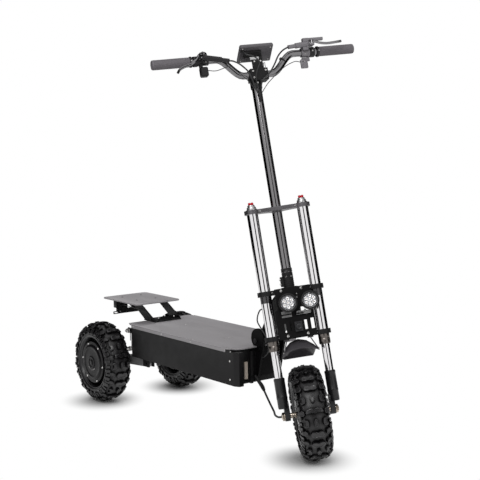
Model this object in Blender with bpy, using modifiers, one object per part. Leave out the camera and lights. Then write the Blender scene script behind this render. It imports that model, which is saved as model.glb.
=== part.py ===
"""Three-wheel electric scooter: long deck, raised seat plate, upside-down fork turned to one side.

Metres, +Z up. The scooter's nose points to -Y and the rider's right hand is at -X.
The front wheel and the handlebar stand turned as in the photograph.
"""
import math

import bmesh
import bpy
from mathutils import Matrix, Vector

# Clearances
GAP = 0.0003
RUNNING = 0.0004

# Wheels
TYRE_R = 0.1425
TYRE_HALF = 0.0465
RIM_R = 0.0834
BEAD_HALF = 0.029
AXLE_R = 0.008
WHEEL_STEPS = 32
HUB_STEPS = 20

# Stance
STEER_X = -0.0041
STEER_Y = -0.46886
WHEELBASE = 0.939
RAKE = math.radians(15.17)
STEER_TURN = math.radians(-33.95)
BAR_TURN = math.radians(13.2)
DECK_PITCH = math.radians(1.50)

# Fork, heights along the steering axis above the front axle
FORK_HALF = 0.0763
FORK_FORWARD = 0.0231
AXLE_FORWARD = 0.014
LOW_CROWN_Z = 0.230
MID_CROWN_Z = 0.365
TOP_CROWN_Z = 0.613
CROWN_THICK = 0.014
TOP_CROWN_THICK = 0.012
TUBE_R = 0.017
STANCHION_R = 0.0125
LEG_R = 0.0165
LEG_TOP_Z = 0.112
STEM_R = 0.015
HEAD_R = 0.024

# Handlebar
BAR_Z = 1.0305
BAR_RISE = 0.057
BAR_FORWARD = 0.0082
BAR_SHIFT = 0.0075
BAR_R = 0.011
BAR_HALF = 0.3247
GRIP_LENGTH = 0.124
GRIP_R = 0.0152
CLAMP_IN = 0.0412
CYLINDER_REACH = 0.070
LEFT_SHORTER = 0.014
RIGHT_FALL = 0.20
LEFT_FALL = 0.086

# Deck, distances behind the steering axis and heights above the ground with the deck level
DECK_HALF = 0.1378
DECK_TOP = 0.2907
DECK_BOTTOM = 0.1792
DECK_FRONT = 0.200
REAR_CLEAR = 0.0145
DECK_REAR = WHEELBASE - TYRE_R - REAR_CLEAR
DECK_SHEET = 0.003
WHEEL_OUT = 0.0277
REAR_TRACK = 2 * (DECK_HALF + WHEEL_OUT)
BATTERY_HEIGHT = 0.082
BATTERY_MARGIN = 0.0173
CONTROLLER_LENGTH = 0.085
CONTROLLER_Y = DECK_FRONT + 0.175

# Seat plate
SEAT_TOP = 0.3515
SEAT_GAP = 0.033
SEAT_LENGTH = 0.239
SEAT_FRONT = DECK_REAR + SEAT_GAP
SEAT_REAR = SEAT_FRONT + SEAT_LENGTH
SEAT_HALF = 0.0933
SEAT_SHEET = 0.0045

# Folding pin and rear suspension
PIVOT_Y = 0.1996
PIVOT_Z = 0.3061
SWING_REACH = 0.211
SWING_Y = WHEELBASE - SWING_REACH
SWING_Z = 0.158
SHOCK_IN = 0.0068
SHOCK_X = DECK_HALF - SHOCK_IN
STRUT_X = SHOCK_X - 0.003
ARM_X = SHOCK_X - 0.028
SHOCK_BEHIND = 0.011
SHOCK_Y = DECK_REAR + SHOCK_BEHIND
SHOCK_TOP_Z = 0.269
SHOCK_LOW_Z = 0.205

for old in list(bpy.data.objects):
    bpy.data.objects.remove(old, do_unlink=True)

PARTS = bpy.data.collections.new("Electric_scooter")
CUTTERS = bpy.data.collections.new("Cutters")
for collection in (PARTS, CUTTERS):
    bpy.context.scene.collection.children.link(collection)


def material(name, colour, metallic=0.0, roughness=0.5):
    """A Principled material."""
    made = bpy.data.materials.new(name)
    made.use_nodes = True
    shader = made.node_tree.nodes["Principled BSDF"]
    shader.inputs["Base Color"].default_value = (*colour, 1.0)
    shader.inputs["Metallic"].default_value = metallic
    shader.inputs["Roughness"].default_value = roughness
    return made


BLACK = (0.012, 0.012, 0.013)
DARK = (0.03, 0.03, 0.032)
GREY = (0.22, 0.22, 0.225)
SILVER = (0.6, 0.6, 0.6)


def axis_matrix(direction):
    """Turns +Z into the direction."""
    return Vector(direction).normalized().to_track_quat("Z", "Y").to_matrix().to_4x4()


def finish(name, data, parent, look, collection=PARTS):
    """Links an object under its frame and gives it its look."""
    made = bpy.data.objects.new(name, data)
    collection.objects.link(made)
    made.parent = parent
    if look:
        data.materials.append(material(name, *look))
    if collection is CUTTERS:
        made.hide_render = True
        made.display_type = "WIRE"
    return made


def smooth(made, angle=35.0):
    """Shades the round sides smooth and keeps the edges."""
    made.data.shade_smooth()
    made.data.set_sharp_from_angle(angle=math.radians(angle))


def boxes(name, items, parent, look=None, collection=PARTS):
    """Boxes given as (size, centre) or (size, centre, matrix) in the frame."""
    mesh = bmesh.new()
    for item in items:
        size, centre = item[:2]
        turn = item[2] if len(item) > 2 else Matrix()
        place = Matrix.Translation(centre) @ turn @ Matrix.Diagonal((*size, 1.0))
        bmesh.ops.create_cube(mesh, size=1.0, matrix=place)
    data = bpy.data.meshes.new(name)
    mesh.to_mesh(data)
    mesh.free()
    return finish(name, data, parent, look, collection)


def rods(name, items, parent, look=None, collection=PARTS, segments=16):
    """Cylinders or cones given as (start, end, radius) or (start, end, radius, end radius)."""
    mesh = bmesh.new()
    for item in items:
        start, end = Vector(item[0]), Vector(item[1])
        first = item[2]
        last = item[3] if len(item) > 3 else first
        place = Matrix.Translation((start + end) / 2) @ axis_matrix(end - start)
        bmesh.ops.create_cone(mesh, cap_ends=True, segments=segments, radius1=first, radius2=last,
                              depth=(end - start).length, matrix=place)
    data = bpy.data.meshes.new(name)
    mesh.to_mesh(data)
    mesh.free()
    made = finish(name, data, parent, look, collection)
    smooth(made)
    return made


def turned(name, profile, parent, look=None, place=Matrix(), steps=32, closed=False, collection=PARTS):
    """A profile of (radius, height) turned about the frame's Z, its outer side written from the top down."""
    mesh = bmesh.new()
    points = [mesh.verts.new((radius, 0.0, height)) for radius, height in profile]
    for first, second in zip(points, points[1:]):
        mesh.edges.new((first, second))
    if closed:
        mesh.edges.new((points[-1], points[0]))
    data = bpy.data.meshes.new(name)
    mesh.to_mesh(data)
    mesh.free()
    made = finish(name, data, parent, look, collection)
    made.matrix_local = place
    screw = made.modifiers.new("Turn", "SCREW")
    screw.steps = steps
    screw.render_steps = steps
    screw.use_merge_vertices = True
    screw.merge_threshold = 0.00001
    screw.use_smooth_shade = False
    return made


def flat(name, outline, thickness, parent, look=None, place=Matrix(), collection=PARTS):
    """A flat outline in the frame's XY plane, thickened evenly to both sides, as a mesh."""
    curve = bpy.data.curves.new(name + "_outline", "CURVE")
    curve.dimensions = "2D"
    curve.fill_mode = "BOTH"
    curve.extrude = thickness / 2
    spline = curve.splines.new("POLY")
    spline.points.add(len(outline) - 1)
    for point, (x, y) in zip(spline.points, outline):
        point.co = (x, y, 0.0, 1.0)
    spline.use_cyclic_u = True
    return as_mesh(name, curve, parent, look, place, collection)


def as_mesh(name, curve, parent, look, place=Matrix(), collection=PARTS):
    """Makes a curve a closed mesh in its frame."""
    holder = bpy.data.objects.new(name + "_curve", curve)
    PARTS.objects.link(holder)
    depsgraph = bpy.context.evaluated_depsgraph_get()
    data = bpy.data.meshes.new_from_object(holder.evaluated_get(depsgraph))
    data.name = name
    bpy.data.objects.remove(holder)
    data.materials.clear()
    mesh = bmesh.new()
    mesh.from_mesh(data)
    bmesh.ops.remove_doubles(mesh, verts=mesh.verts, dist=0.000001)
    bmesh.ops.recalc_face_normals(mesh, faces=mesh.faces)
    mesh.to_mesh(data)
    mesh.free()
    made = finish(name, data, parent, look, collection)
    made.matrix_local = place
    return made


def tubes(name, routes, parent, look=None, sides=2, collection=PARTS):
    """Round tubes along routes given as (points, radius)."""
    curve = bpy.data.curves.new(name + "_route", "CURVE")
    curve.dimensions = "3D"
    curve.bevel_depth = 1.0
    curve.bevel_resolution = sides
    curve.use_fill_caps = True
    for points, radius in routes:
        spline = curve.splines.new("POLY")
        spline.points.add(len(points) - 1)
        for point, co in zip(spline.points, points):
            point.co = (*co, 1.0)
            point.radius = radius
    made = as_mesh(name, curve, parent, look, collection=collection)
    smooth(made, 50.0)
    return made


def cut(made, cutter, operation="DIFFERENCE"):
    """Cuts one shape with another, or joins them."""
    boolean = made.modifiers.new(cutter.name, "BOOLEAN")
    boolean.operation = operation
    boolean.solver = "EXACT"
    boolean.use_self = True
    boolean.object = cutter


def join(made, *others):
    """Joins shapes that were made among the cutters."""
    for other in others:
        cut(made, other, "UNION")


def bevelled(made, width, segments=2):
    """Rounds the edges."""
    bevel = made.modifiers.new("Edges", "BEVEL")
    bevel.width = width
    bevel.segments = segments
    bevel.limit_method = "ANGLE"
    bevel.angle_limit = math.radians(40)


def arc(centre, radius, start, end, count):
    """Points on an arc, angles in degrees."""
    points = []
    for index in range(count + 1):
        angle = math.radians(start + (end - start) * index / count)
        points.append((centre[0] + radius * math.cos(angle), centre[1] + radius * math.sin(angle)))
    return points


def through(points, per_span):
    """A smooth curve through hand-chosen points."""
    ends = [2 * Vector(points[0]) - Vector(points[1])] + [Vector(p) for p in points]
    ends.append(2 * Vector(points[-1]) - Vector(points[-2]))
    route = []
    for index in range(1, len(ends) - 2):
        p0, p1, p2, p3 = ends[index - 1:index + 3]
        for step in range(per_span):
            t = step / per_span
            route.append(0.5 * ((2 * p1) + (p2 - p0) * t + (2 * p0 - 5 * p1 + 4 * p2 - p3) * t * t
                                + (3 * p1 - p0 - 3 * p2 + p3) * t ** 3))
    route.append(ends[-2])
    return route


def empty(name, parent, matrix):
    """A frame that pieces hang from."""
    made = bpy.data.objects.new(name, None)
    PARTS.objects.link(made)
    made.parent = parent
    made.matrix_local = matrix
    return made


# Turns a wheel's turned shape so that its axis lies along X and its first point is lowest
WHEEL_TURN = Matrix.Rotation(math.radians(90), 4, "Y")
# Puts an outline drawn as (back, up) into the plane across X
SIDE_VIEW = Matrix(((0, 0, 1, 0), (1, 0, 0, 0), (0, 1, 0, 0), (0, 0, 0, 1)))
# Puts an outline drawn as (right, up) into the plane across Y, thickened along Y
FRONT_VIEW = Matrix(((1, 0, 0, 0), (0, 0, -1, 0), (0, 1, 0, 0), (0, 0, 0, 1)))

TREAD = [(TYRE_R, 0.0), (TYRE_R - 0.0008, TYRE_HALF - 0.0285), (TYRE_R - 0.0045, TYRE_HALF - 0.0155),
         (TYRE_R - 0.0135, TYRE_HALF - 0.005), (TYRE_R - 0.034, TYRE_HALF), (TYRE_R - 0.050, TYRE_HALF - 0.0045),
         (RIM_R, BEAD_HALF)]
CAVITY = [(TYRE_R - 0.009, 0.0), (TYRE_R - 0.0185, TYRE_HALF - 0.0145), (TYRE_R - 0.0425, TYRE_HALF - 0.0105),
          (RIM_R, BEAD_HALF - 0.008)]


def steer_tilt():
    """Sine of the front axle's slope when the fork is turned about its raked axis."""
    return abs(math.sin(STEER_TURN) * math.sin(RAKE))


def steer_height():
    """Height of the steering frame's origin that stands the turned front tyre on the ground."""
    sine = steer_tilt()
    cosine = math.sqrt(1 - sine * sine)
    axle_height = max(radius * cosine + side * sine for radius, side in TREAD)
    return axle_height - AXLE_FORWARD * math.cos(STEER_TURN) * math.sin(RAKE)


def frames():
    """The empties that the pieces hang from, one on each axis."""
    ground = Matrix.Translation((STEER_X, STEER_Y, 0.0))
    axle = Vector((0.0, WHEELBASE, TYRE_R))
    level = Matrix.Translation(axle) @ Matrix.Rotation(-DECK_PITCH, 4, "X") @ Matrix.Translation(-axle)
    chassis = empty("chassis_frame", None, ground @ level)
    fold = empty("fold_axis", chassis, Matrix.Translation((0.0, PIVOT_Y, PIVOT_Z)))
    raked = Matrix.Translation((0.0, 0.0, steer_height())) @ Matrix.Rotation(-RAKE, 4, "X")
    head = empty("head_frame", None, ground @ raked)
    steer = empty("steer_axis", head, Matrix.Rotation(STEER_TURN, 4, "Z"))
    bar = empty("bar_frame", steer, Matrix.Rotation(BAR_TURN, 4, "Z") @ Matrix.Translation((BAR_SHIFT, 0, 0)))
    swing = empty("swing_axis", chassis, Matrix.Translation((0.0, SWING_Y, SWING_Z)))
    lean = math.atan2(math.cos(STEER_TURN) * math.sin(RAKE), math.cos(RAKE))
    front = empty("front_wheel_axis", steer,
                  Matrix.Translation((0.0, -AXLE_FORWARD, 0.0)) @ Matrix.Rotation(lean, 4, "X"))
    wheels = {"front": front}
    for side, name in ((-1, "right"), (1, "left")):
        place = Matrix.Translation((side * REAR_TRACK / 2, WHEELBASE, TYRE_R))
        wheels[name] = empty(name + "_wheel_axis", chassis, place @ Matrix.Rotation(DECK_PITCH, 4, "X"))
    return chassis, fold, head, steer, bar, swing, wheels


CHASSIS, FOLD, HEAD, STEER, BAR, SWING, WHEELS = frames()
bpy.context.view_layer.update()


def tyre(name, parent):
    """A tubeless tyre: crown, shoulders, bulging sides and an open cavity."""
    outer = [(r, z) for r, z in reversed(TREAD)] + [(r, -z) for r, z in TREAD[1:]]
    inner = [(r, -z) for r, z in reversed(CAVITY)] + [(r, z) for r, z in CAVITY[1:]]
    made = turned(name, outer + inner, parent, (BLACK, 0.0, 0.75), WHEEL_TURN, WHEEL_STEPS, closed=True)
    return made


def hub(name, parent, inner_side):
    """A hub motor in its rim. inner_side is the side its axle enters from, 0 for an axle that goes through."""
    bore = AXLE_R + GAP
    edge = RIM_R - 0.0079
    cover = [(edge, 0.0235), (edge, 0.041), (edge - 0.003, 0.0435), (edge - 0.0135, 0.0435), (edge - 0.0175, 0.0410),
             (0.021, 0.0430)]
    rim = [(edge + 0.003, 0.0235), (edge + 0.004, 0.031), (RIM_R - 2 * GAP, BEAD_HALF)]
    upper = [(r, z) for r, z in reversed(cover)] + rim
    lower = [(r, -z) for r, z in reversed(upper)]
    if inner_side == 0:
        profile = [(bore, 0.0440)] + upper + lower + [(bore, -0.0440)]
        place = WHEEL_TURN
    else:
        # The blind bore opens towards the deck
        profile = [(0.0, 0.0445)] + upper + lower + [(bore, -0.0440), (bore, 0.005), (0.0, 0.005)]
        place = Matrix.Rotation(math.radians(90 if inner_side < 0 else -90), 4, "Y")
    return turned(name, profile, parent, (DARK, 0.6, 0.4), place, HUB_STEPS, closed=inner_side == 0)


def wheels():
    """The three wheels."""
    tyre("front_tyre", WHEELS["front"])
    hub("front_hub", WHEELS["front"], 0)
    tyre("right_tyre", WHEELS["right"])
    hub("right_hub", WHEELS["right"], 1)
    tyre("left_tyre", WHEELS["left"])
    hub("left_hub", WHEELS["left"], -1)


CUT_X = 0.050
CUT_Y = 0.315
WALL = 0.003
TRAY_HALF = DECK_HALF - 0.0015
TRAY_TOP = DECK_TOP - DECK_SHEET - GAP


def tray_outline(inset):
    """Plan of the tray. Its left front corner is cut back."""
    half = TRAY_HALF - inset
    return [(-half, DECK_REAR - inset), (-half, DECK_FRONT + inset), (CUT_X - 0.6 * inset, DECK_FRONT + inset),
            (half, CUT_Y + 0.6 * inset), (half, DECK_REAR - inset)]


def deck():
    """Tray, top plate, port, battery and controllers."""
    height = TRAY_TOP - DECK_BOTTOM
    middle = DECK_BOTTOM + height / 2
    tray = flat("deck_tray", tray_outline(0.0), height, CHASSIS, (DARK, 0.6, 0.42),
                Matrix.Translation((0, 0, middle)))
    hollow = flat("tray_hollow", tray_outline(WALL), height, CHASSIS, None,
                  Matrix.Translation((0, 0, middle + WALL)), CUTTERS)
    post_front = DECK_FRONT - 0.0255
    post_in = -TRAY_HALF + 0.0243
    post = flat("tray_post", [(-TRAY_HALF, DECK_FRONT + 0.001), (-TRAY_HALF, DECK_FRONT - 0.010),
                              (-TRAY_HALF + 0.008, post_front), (post_in, post_front),
                              (post_in, DECK_FRONT + 0.001)],
                height - 0.004, CHASSIS, None, Matrix.Translation((0, 0, middle - 0.002)), CUTTERS)
    rib = boxes("tray_rib", [((0.0095, 0.011, height - 0.008), (-0.0678, DECK_FRONT - 0.0045, middle - 0.004))],
                CHASSIS, None, CUTTERS)
    cut(tray, hollow)
    join(tray, post, rib)
    edge = DECK_FRONT - 0.007
    corner = 0.030
    side_end = DECK_REAR + 0.007
    rear_end = DECK_REAR + 0.033
    outline = []
    for side in (-1, 1):
        half = [((DECK_HALF - 0.012) * side, rear_end), (DECK_HALF * side, side_end),
                (DECK_HALF * side, edge + corner + 0.006), ((DECK_HALF - 0.006) * side, edge + corner - 0.006),
                ((DECK_HALF - corner + 0.006) * side, edge + 0.003), ((DECK_HALF - corner - 0.008) * side, edge)]
        outline += half if side < 0 else list(reversed(half))
    plate = flat("deck_plate", outline, DECK_SHEET, CHASSIS, (GREY, 0.5, 0.45),
                 Matrix.Translation((0, 0, DECK_TOP - DECK_SHEET / 2)))
    lip_front = edge + corner + 0.010
    lip_length = DECK_REAR - 0.006 - lip_front
    lips = boxes("plate_lips", [((0.0012, lip_length, 0.011),
                                 (side * (DECK_HALF - 0.0006), lip_front + lip_length / 2, DECK_TOP - 0.0065))
                                for side in (-1, 1)], CHASSIS, None, CUTTERS)
    join(plate, lips)
    port = boxes("charge_port", [((0.012, 0.006, 0.054), (-0.0865, DECK_FRONT - 0.003 - GAP, DECK_TOP - 0.0702))],
                 CHASSIS, ((0.62, 0.55, 0.46), 0.0, 0.5))
    bevelled(port, 0.0012, 1)
    floor = DECK_BOTTOM + WALL + GAP
    start = CONTROLLER_Y + CONTROLLER_LENGTH / 2 + BATTERY_MARGIN
    end = DECK_REAR - WALL - BATTERY_MARGIN
    size = (2 * (TRAY_HALF - WALL - BATTERY_MARGIN), end - start, BATTERY_HEIGHT)
    battery = boxes("battery_pack", [(size, (0.0, (start + end) / 2, floor + BATTERY_HEIGHT / 2))], CHASSIS,
                    ((0.05, 0.09, 0.25), 0.0, 0.6))
    bevelled(battery, 0.006)
    controller = boxes("motor_controller",
                       [((0.180, CONTROLLER_LENGTH, 0.032), (-0.035, CONTROLLER_Y, floor + 0.016))],
                       CHASSIS, ((0.3, 0.3, 0.31), 0.9, 0.4))
    bevelled(controller, 0.003, 1)
    return tray


def neck():
    """The ears on the deck, the pin, and the folding head that carries the steering."""
    half = 0.045
    sheet = 0.008
    wall = DECK_FRONT - GAP
    foot = DECK_BOTTOM + 0.0013
    ear = [(wall, foot), (wall, TRAY_TOP - GAP), (wall - 0.0072, TRAY_TOP - GAP), (wall - 0.0072, DECK_TOP + 2 * GAP)]
    ear += arc((PIVOT_Y - 0.0081, PIVOT_Z + 0.0088), 0.031, -51.0, 200.0, 16)
    ear += [(PIVOT_Y - 0.0316, PIVOT_Z - 0.0234), (wall - 0.0052, foot)]
    ears = []
    for side in (-1, 1):
        plate = flat("neck_bracket" if side < 0 else "left_ear", ear, sheet, CHASSIS,
                     (BLACK, 0.5, 0.4) if side < 0 else None, collection=PARTS if side < 0 else CUTTERS)
        plate.data.transform(Matrix.Translation((side * (half - sheet / 2), 0, 0)) @ SIDE_VIEW)
        ears.append(plate)
    back = boxes("neck_back_plate", [((0.084, 0.004, 0.088), (0.0, wall - 0.002, DECK_TOP - 0.0502))], CHASSIS, None,
                 CUTTERS)
    bolts = rods("neck_bolts", [((side * (half - 0.002), PIVOT_Y - back_by, PIVOT_Z - down),
                                 (side * (half + 0.003), PIVOT_Y - back_by, PIVOT_Z - down), 0.0048, 0.0040)
                                for side in (-1, 1) for back_by, down in ((0.0120, 0.0152), (0.0181, 0.0232))],
                 CHASSIS, None, CUTTERS, 12)
    hole = rods("ear_hole", [((-0.06, PIVOT_Y, PIVOT_Z), (0.06, PIVOT_Y, PIVOT_Z), 0.006 + GAP)], CHASSIS, None,
                CUTTERS)
    join(ears[0], ears[1], back, bolts)
    cut(ears[0], hole)
    reach = half + GAP
    pin = rods("fold_pin", [((-reach - 0.001, 0, 0), (reach + 0.001, 0, 0), 0.006)], FOLD, (SILVER, 0.9, 0.3))
    heads = rods("fold_pin_heads", [((side * reach, 0, 0), (side * (reach + 0.004), 0, 0), 0.0085)
                                    for side in (-1, 1)], FOLD, None, CUTTERS)
    join(pin, heads)
    # The knuckle and arm are drawn about the pin, as (back, up)
    knuckle = rods("neck_head", [((-0.0362, 0, 0), (0.0362, 0, 0), 0.0140)], FOLD, (BLACK, 0.5, 0.4))
    arm_outline = [(-0.0125, -0.0055), (0.0050, 0.0125), (-0.058, 0.120), (-0.089, 0.168), (-0.110, 0.168),
                   (-0.135, 0.085), (-0.105, 0.066)]
    arm = flat("neck_arm", arm_outline, 0.056, FOLD, None, collection=CUTTERS)
    arm.data.transform(SIDE_VIEW)
    low = LOW_CROWN_Z + CROWN_THICK / 2 + GAP
    high = MID_CROWN_Z - CROWN_THICK / 2 - GAP
    tube = rods("head_tube", [((0, 0, low - 0.001), (0, 0, high + 0.001), HEAD_R)], HEAD, None, CUTTERS, 24)
    clear = rods("crown_clear", [((0, 0, low - 0.030), (0, 0, low), 0.130),
                                 ((0, 0, high), (0, 0, high + 0.060), 0.130)], HEAD, None, CUTTERS, 24)
    join(knuckle, arm, tube)
    bore = rods("head_bore", [((0, 0, low - 0.02), (0, 0, high + 0.02), STEM_R + RUNNING)], HEAD, None, CUTTERS, 24)
    pin_hole = rods("pin_hole", [((-0.08, 0, 0), (0.08, 0, 0), 0.006 + GAP)], FOLD, None, CUTTERS)
    cut(knuckle, clear)
    cut(knuckle, bore)
    cut(knuckle, pin_hole)


def seat_mount():
    """Bracket with slanting side arms, seat plate, rear bracket and tail lights."""
    base_y = DECK_REAR + 0.011
    base = boxes("seat_bracket", [((0.1092, 0.072, 0.004), (0.0, base_y, DECK_TOP + GAP + 0.002))], CHASSIS,
                 (BLACK, 0.5, 0.4))
    under = SEAT_TOP - SEAT_SHEET - GAP
    foot = DECK_TOP + GAP + 0.0005
    side_outline = [(base_y - 0.033, foot), (base_y + 0.029, foot), (base_y + 0.035, foot + 0.0045),
                    (base_y + 0.120, under), (base_y + 0.058, under), (base_y - 0.033, foot + 0.0060)]
    for side in (-1, 1):
        arm = flat("seat_arm_%d" % side, side_outline, 0.004, CHASSIS, None, collection=CUTTERS)
        arm.data.transform(Matrix.Translation((side * 0.0526, 0, 0)) @ SIDE_VIEW)
        join(base, arm)
    bolt_y = base_y - 0.025
    bolts = rods("seat_base_bolts", [((x, bolt_y, foot + 0.003), (x, bolt_y, foot + 0.0065), 0.0042, 0.0034)
                                     for x in (-0.0325, 0.0325)], CHASSIS, None, CUTTERS, 12)
    join(base, bolts)
    corner = 0.016
    outline = []
    middle = (SEAT_FRONT + SEAT_REAR) / 2
    half = (SEAT_REAR - SEAT_FRONT) / 2
    for x, y, start in ((1, 1, 0), (-1, 1, 90), (-1, -1, 180), (1, -1, 270)):
        centre = (x * (SEAT_HALF - corner), middle + y * (half - corner))
        outline += arc(centre, corner, start, start + 90, 5)
    flat("seat_plate", outline, SEAT_SHEET, CHASSIS, (GREY, 0.5, 0.45),
         Matrix.Translation((0, 0, SEAT_TOP - SEAT_SHEET / 2)))
    # The rear bracket is a bent sheet under the seat plate with a slotted strip along its foot
    leaf_y = SEAT_REAR - 0.0355
    leaf_half = SEAT_HALF - 0.0373
    leaf_height = 0.050
    foot_z = under - leaf_height - 0.0025
    bracket = boxes("tail_bracket", [((2 * leaf_half - 0.012, 0.090, 0.003), (0.0, leaf_y - 0.0435, under - 0.0015))],
                    CHASSIS, (BLACK, 0.5, 0.4))
    leaf = boxes("bracket_leaf", [((2 * leaf_half, 0.003, leaf_height), (0.0, leaf_y, under - leaf_height / 2))],
                 CHASSIS, None, CUTTERS)
    strip = boxes("bracket_strip", [((2 * leaf_half + 0.024, 0.003, 0.010), (0.0, leaf_y, foot_z))], CHASSIS, None,
                  CUTTERS)
    openings = boxes("bracket_openings", [((0.016, 0.02, 0.030), (0.0, leaf_y, under - leaf_height / 2)),
                                          ((0.014, 0.02, 0.004), (-leaf_half - 0.002, leaf_y, foot_z)),
                                          ((0.014, 0.02, 0.004), (leaf_half + 0.002, leaf_y, foot_z))], CHASSIS, None,
                     CUTTERS)
    join(bracket, leaf, strip)
    cut(bracket, openings)
    lamp_x = 0.034
    lamps = boxes("tail_light", [((0.040, 0.020, 0.034), (side * lamp_x, leaf_y + 0.0145, under - 0.0205))
                                 for side in (-1, 1)], CHASSIS, ((0.25, 0.01, 0.01), 0.0, 0.25))
    carrier_y = leaf_y + 0.0015 + 0.00175 + GAP
    carrier = boxes("lamp_carrier", [((2 * lamp_x + 0.022, 0.0035, 0.008), (0.0, carrier_y, under - 0.0440)),
                                     ((0.012, 0.0035, 0.024), (-lamp_x, carrier_y, under - 0.0360)),
                                     ((0.012, 0.0035, 0.024), (lamp_x, carrier_y, under - 0.0360))], CHASSIS, None,
                    CUTTERS)
    bevelled(lamps, 0.003)
    join(lamps, carrier)


def rear_suspension(tray):
    """Lugs on the tray, the swinging frame with its axle, and the two short struts."""
    lugs = boxes("swing_lugs", [((0.005, 0.036, 0.032), (side * (ARM_X + out), SWING_Y, SWING_Z + 0.0062))
                                for side in (-1, 1) for out in (-0.0095, 0.0095)], CHASSIS, None, CUTTERS)
    strut_x = STRUT_X
    plates = boxes("strut_lugs", [((0.004, 0.024, 0.018), (side * (strut_x + out), SHOCK_Y - 0.001, SHOCK_TOP_Z))
                                  for side in (-1, 1) for out in (-0.0075, 0.0075)], CHASSIS, None, CUTTERS)
    pin_in = ARM_X - 0.0145
    pin_out = ARM_X + 0.0145
    pins = rods("bracket_pins", [((side * pin_in, SWING_Y, SWING_Z), (side * pin_out, SWING_Y, SWING_Z),
                                  0.005) for side in (-1, 1)]
                + [((side * (strut_x - 0.0115), SHOCK_Y, SHOCK_TOP_Z),
                    (side * (strut_x + 0.0130), SHOCK_Y, SHOCK_TOP_Z), 0.004) for side in (-1, 1)], CHASSIS, None,
                CUTTERS, 16)
    join(tray, lugs, plates, pins)
    reach = SWING_REACH
    drop = TYRE_R - SWING_Z
    lower_y = SHOCK_Y - SWING_Y
    lower_z = SHOCK_LOW_Z - SWING_Z
    outline = arc((0.0, 0.0), 0.0115, 90, 270, 6)
    outline += [(reach * 0.6, drop * 0.6 - 0.0115)]
    outline += arc((reach, drop), 0.019, -80, 95, 6)
    outline += [(lower_y + 0.024, 0.012), (lower_y + 0.010, lower_z + 0.007), (lower_y - 0.003, lower_z + 0.007),
                (lower_y - 0.004, 0.0115)]
    cross_y = lower_y + 0.017
    cross = rods("swing_frame", [((-ARM_X - 0.001, cross_y, -0.002), (ARM_X + 0.001, cross_y, -0.002), 0.0105)],
                 SWING, (SILVER, 0.9, 0.35))
    for side in (-1, 1):
        arm = flat("swing_arm_%d" % side, outline, 0.010, SWING, None, collection=CUTTERS)
        arm.data.transform(Matrix.Translation((side * ARM_X, 0, 0)) @ SIDE_VIEW)
        join(cross, arm)
    studs = rods("strut_studs", [((side * (ARM_X + 0.002), lower_y, lower_z),
                                  (side * (strut_x + 0.0095), lower_y, lower_z), 0.004) for side in (-1, 1)],
                 SWING, None, CUTTERS, 16)
    inner = ARM_X - 0.013
    outer = ARM_X + 0.013
    holes = rods("swing_holes", [((side * inner, 0, 0), (side * outer, 0, 0), 0.005 + GAP) for side in (-1, 1)]
                 + [((side * inner, reach, drop), (side * outer, reach, drop), AXLE_R + GAP) for side in (-1, 1)],
                 SWING, None, CUTTERS, 24)
    join(cross, studs)
    cut(cross, holes)
    end = REAR_TRACK / 2 + 0.005 - GAP
    axle = rods("rear_axle", [((-end, reach, drop), (end, reach, drop), AXLE_R)], SWING, (SILVER, 0.9, 0.3),
                segments=24)
    collar_end = ARM_X - 0.005 - GAP
    collar_in = collar_end - 0.0072
    collars = rods("rear_axle_collars", [((side * collar_in, reach, drop), (side * collar_end, reach, drop), 0.0125)
                                         for side in (-1, 1)], SWING, None, CUTTERS, 6)
    join(axle, collars)
    top = empty("strut_top_axis", CHASSIS, Matrix.Translation((0, SHOCK_Y, SHOCK_TOP_Z)))
    bottom = empty("strut_low_axis", SWING, Matrix.Translation((0, lower_y, lower_z)))
    for side, name in ((-1, "right"), (1, "left")):
        x = side * strut_x
        body = rods(name + "_strut_body", [((x - 0.0051, 0, 0), (x + 0.0051, 0, 0), 0.0078)], top, (BLACK, 0.5, 0.4),
                    segments=20)
        barrel = rods(name + "_strut_barrel", [((x, 0, -0.0105), (x, 0, -0.036), 0.0072)], top, None, CUTTERS)
        neck_rod = rods(name + "_strut_neck", [((x, 0, -0.002), (x, 0, -0.012), 0.0048)], top, None, CUTTERS)
        bore = rods(name + "_strut_bore", [((x, 0, -0.0130), (x, 0, -0.05), 0.0050)], top, None, CUTTERS, 16)
        eye = rods(name + "_strut_eye", [((x - 0.02, 0, 0), (x + 0.02, 0, 0), 0.004 + GAP)], top, None, CUTTERS, 16)
        join(body, neck_rod, barrel)
        cut(body, bore)
        cut(body, eye)
        rod = rods(name + "_strut_rod", [((x - 0.0051, 0, 0), (x + 0.0051, 0, 0), 0.0078)], bottom,
                   (SILVER, 0.9, 0.3), segments=20)
        shaft_end = SHOCK_TOP_Z - SHOCK_LOW_Z - 0.0280
        shaft = rods(name + "_strut_shaft", [((x, 0, 0.002), (x, 0, shaft_end), 0.0032)], bottom, None, CUTTERS, 16)
        low_eye = rods(name + "_strut_low_eye", [((x - 0.02, 0, 0), (x + 0.02, 0, 0), 0.004 + GAP)], bottom,
                       None, CUTTERS, 16)
        join(rod, shaft)
        cut(rod, low_eye)


def crown_outline(clamp_r, boss_r):
    """Plan of a crown: two clamps, the middle boss and a waist between them."""
    waist_front = -0.0375
    waist_back = -0.0040
    join_x = 0.0500
    right = arc((FORK_HALF, -FORK_FORWARD), clamp_r, -140, 130, 11)
    left = arc((-FORK_HALF, -FORK_FORWARD), clamp_r, 50, 320, 11)
    boss = arc((0.0, 0.0), boss_r, 20, 160, 6)
    return ([(join_x, waist_front)] + right + [(join_x, waist_back)] + boss + [(-join_x, waist_back)] + left
            + [(-join_x, waist_front)])


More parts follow.
